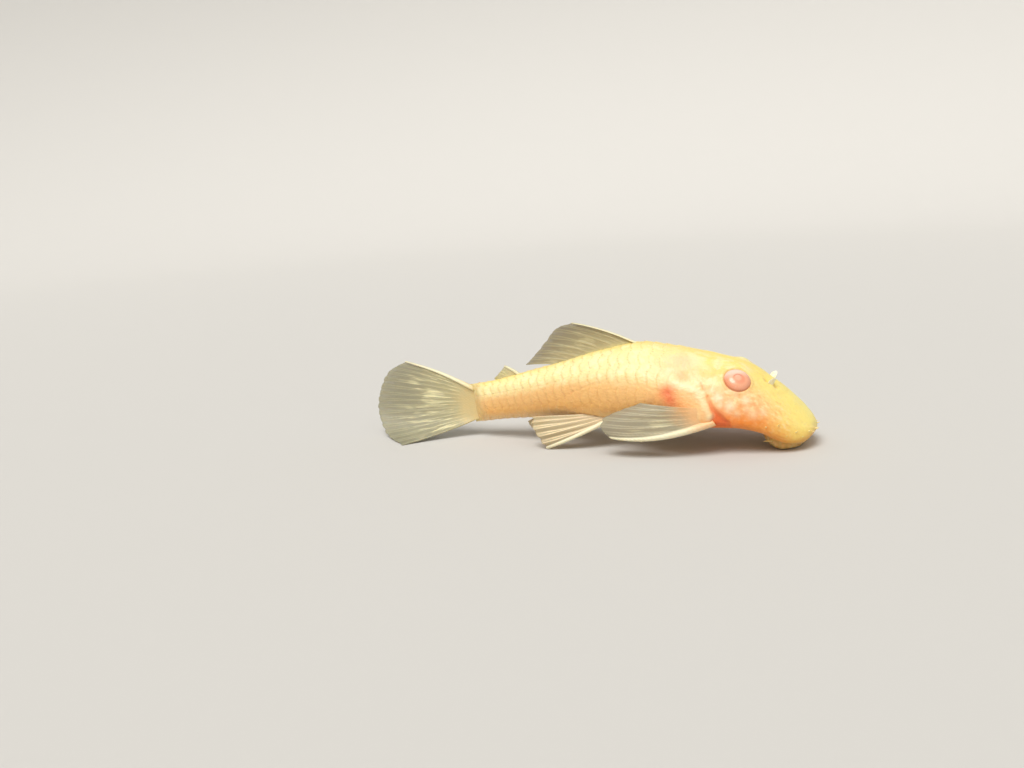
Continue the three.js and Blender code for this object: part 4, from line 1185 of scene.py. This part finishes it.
def build_odontodes(material):
    random = np.random.default_rng(5)
    roots, leans = [], []
    for side in SIDES.values():
        for column in range(1, PLATE_COLUMNS):
            for row in range(PLATE_ROWS):
                for k in range(ODONTODES_A_PLATE):
                    across = lerp(-0.8, 0.8, k / (ODONTODES_A_PLATE - 1)) + 0.06 * random.standard_normal()
                    rear = FIRST_PLATE + (column + 0.9) * PLATE_LENGTH - PLATE_BULGE * across ** 2
                    share = plated_share(rear) * (row + 0.5 + across / 2) / PLATE_ROWS
                    if rear > 98.5 or share < 0.012:
                        continue
                    out = outward(np.array(rear), np.array(share), side)
                    roots.append(surface(rear, share, side) + out * PLATE_STEP * 0.6)
                    leans.append(out * 0.45 - directions_at(rear)[0])
    lengths = ODONTODE_LENGTH * (0.6 + 0.7 * random.random(len(roots)))
    spines("plate_odontodes", material, roots, leans, lengths, 0.032)


build_fins()
build_eyes()
build_mouth(mouth_material())
build_teeth(teeth_material())
soft_finish = soft_skin_material("soft_skin", "f9d884", "fce6a4")
build_bristles(soft_finish)
build_barbels(soft_finish)
build_flaps(soft_skin_material("pale_skin", "fdf2d2", "fffbec"))
build_odontodes(soft_skin_material("plate_spines", "f4c478", "f8d290"))


# Stage: a plain pale floor that rises to a low wall all round, and soft studio light
STAGE_FLAT = 420  # radius of the flat
STAGE_BEND = 260  # radius of the bend between floor and wall
STAGE_HEIGHT = 420
STAGE_BEND_STEPS = 24
STAGE_SIDES = 96


def stage_floor():
    material = Finish("floor").set(base_color=colour("cdcbc7"), roughness=0.8, specular_ior_level=0.1)
    bend = np.linspace(0, math.pi / 2, STAGE_BEND_STEPS)
    reach = np.concatenate([[1], STAGE_FLAT + STAGE_BEND * np.sin(bend)])
    height = np.concatenate([[0], STAGE_BEND * (1 - np.cos(bend))])
    reach, height = np.append(reach, reach[-1]), np.append(height, STAGE_HEIGHT)
    turn = np.arange(STAGE_SIDES) * 2 * math.pi / STAGE_SIDES
    rings = np.stack([reach[:, None] * np.cos(turn), reach[:, None] * np.sin(turn),
                      height[:, None] + 0 * turn], -1)
    quads = faces_of_grid(len(reach), STAGE_SIDES, closed=True)[:, ::-1].tolist()
    make_object("floor", rings.reshape(-1, 3), [*quads, range(STAGE_SIDES)], material)


def light(name, towards, strength, spread, tone):
    """A soft sun that shines from a direction, as wide as a number of degrees."""
    data = bpy.data.lights.new(name, "SUN")
    data.energy = strength
    data.angle = math.radians(spread)
    data.color = tone
    lamp = put_in_scene(name, data)
    lamp.rotation_mode = "QUATERNION"
    lamp.rotation_quaternion = Vector(towards).to_track_quat("Z", "Y")


def studio():
    light("key", (-0.12, -0.75, 1.3), 2.6, 35, (1, 0.985, 0.96))
    light("fill", (0.8, -0.9, 1.0), 0.35, 60, (1, 1, 1))
    world = bpy.data.worlds.new("world")
    world.use_nodes = True
    back = world.node_tree.nodes["Background"]
    back.inputs["Color"].default_value = colour("e3e1dc")
    back.inputs["Strength"].default_value = 0.6
    bpy.context.scene.world = world
    bpy.context.scene.view_settings.view_transform = "Standard"


stage_floor()
studio()
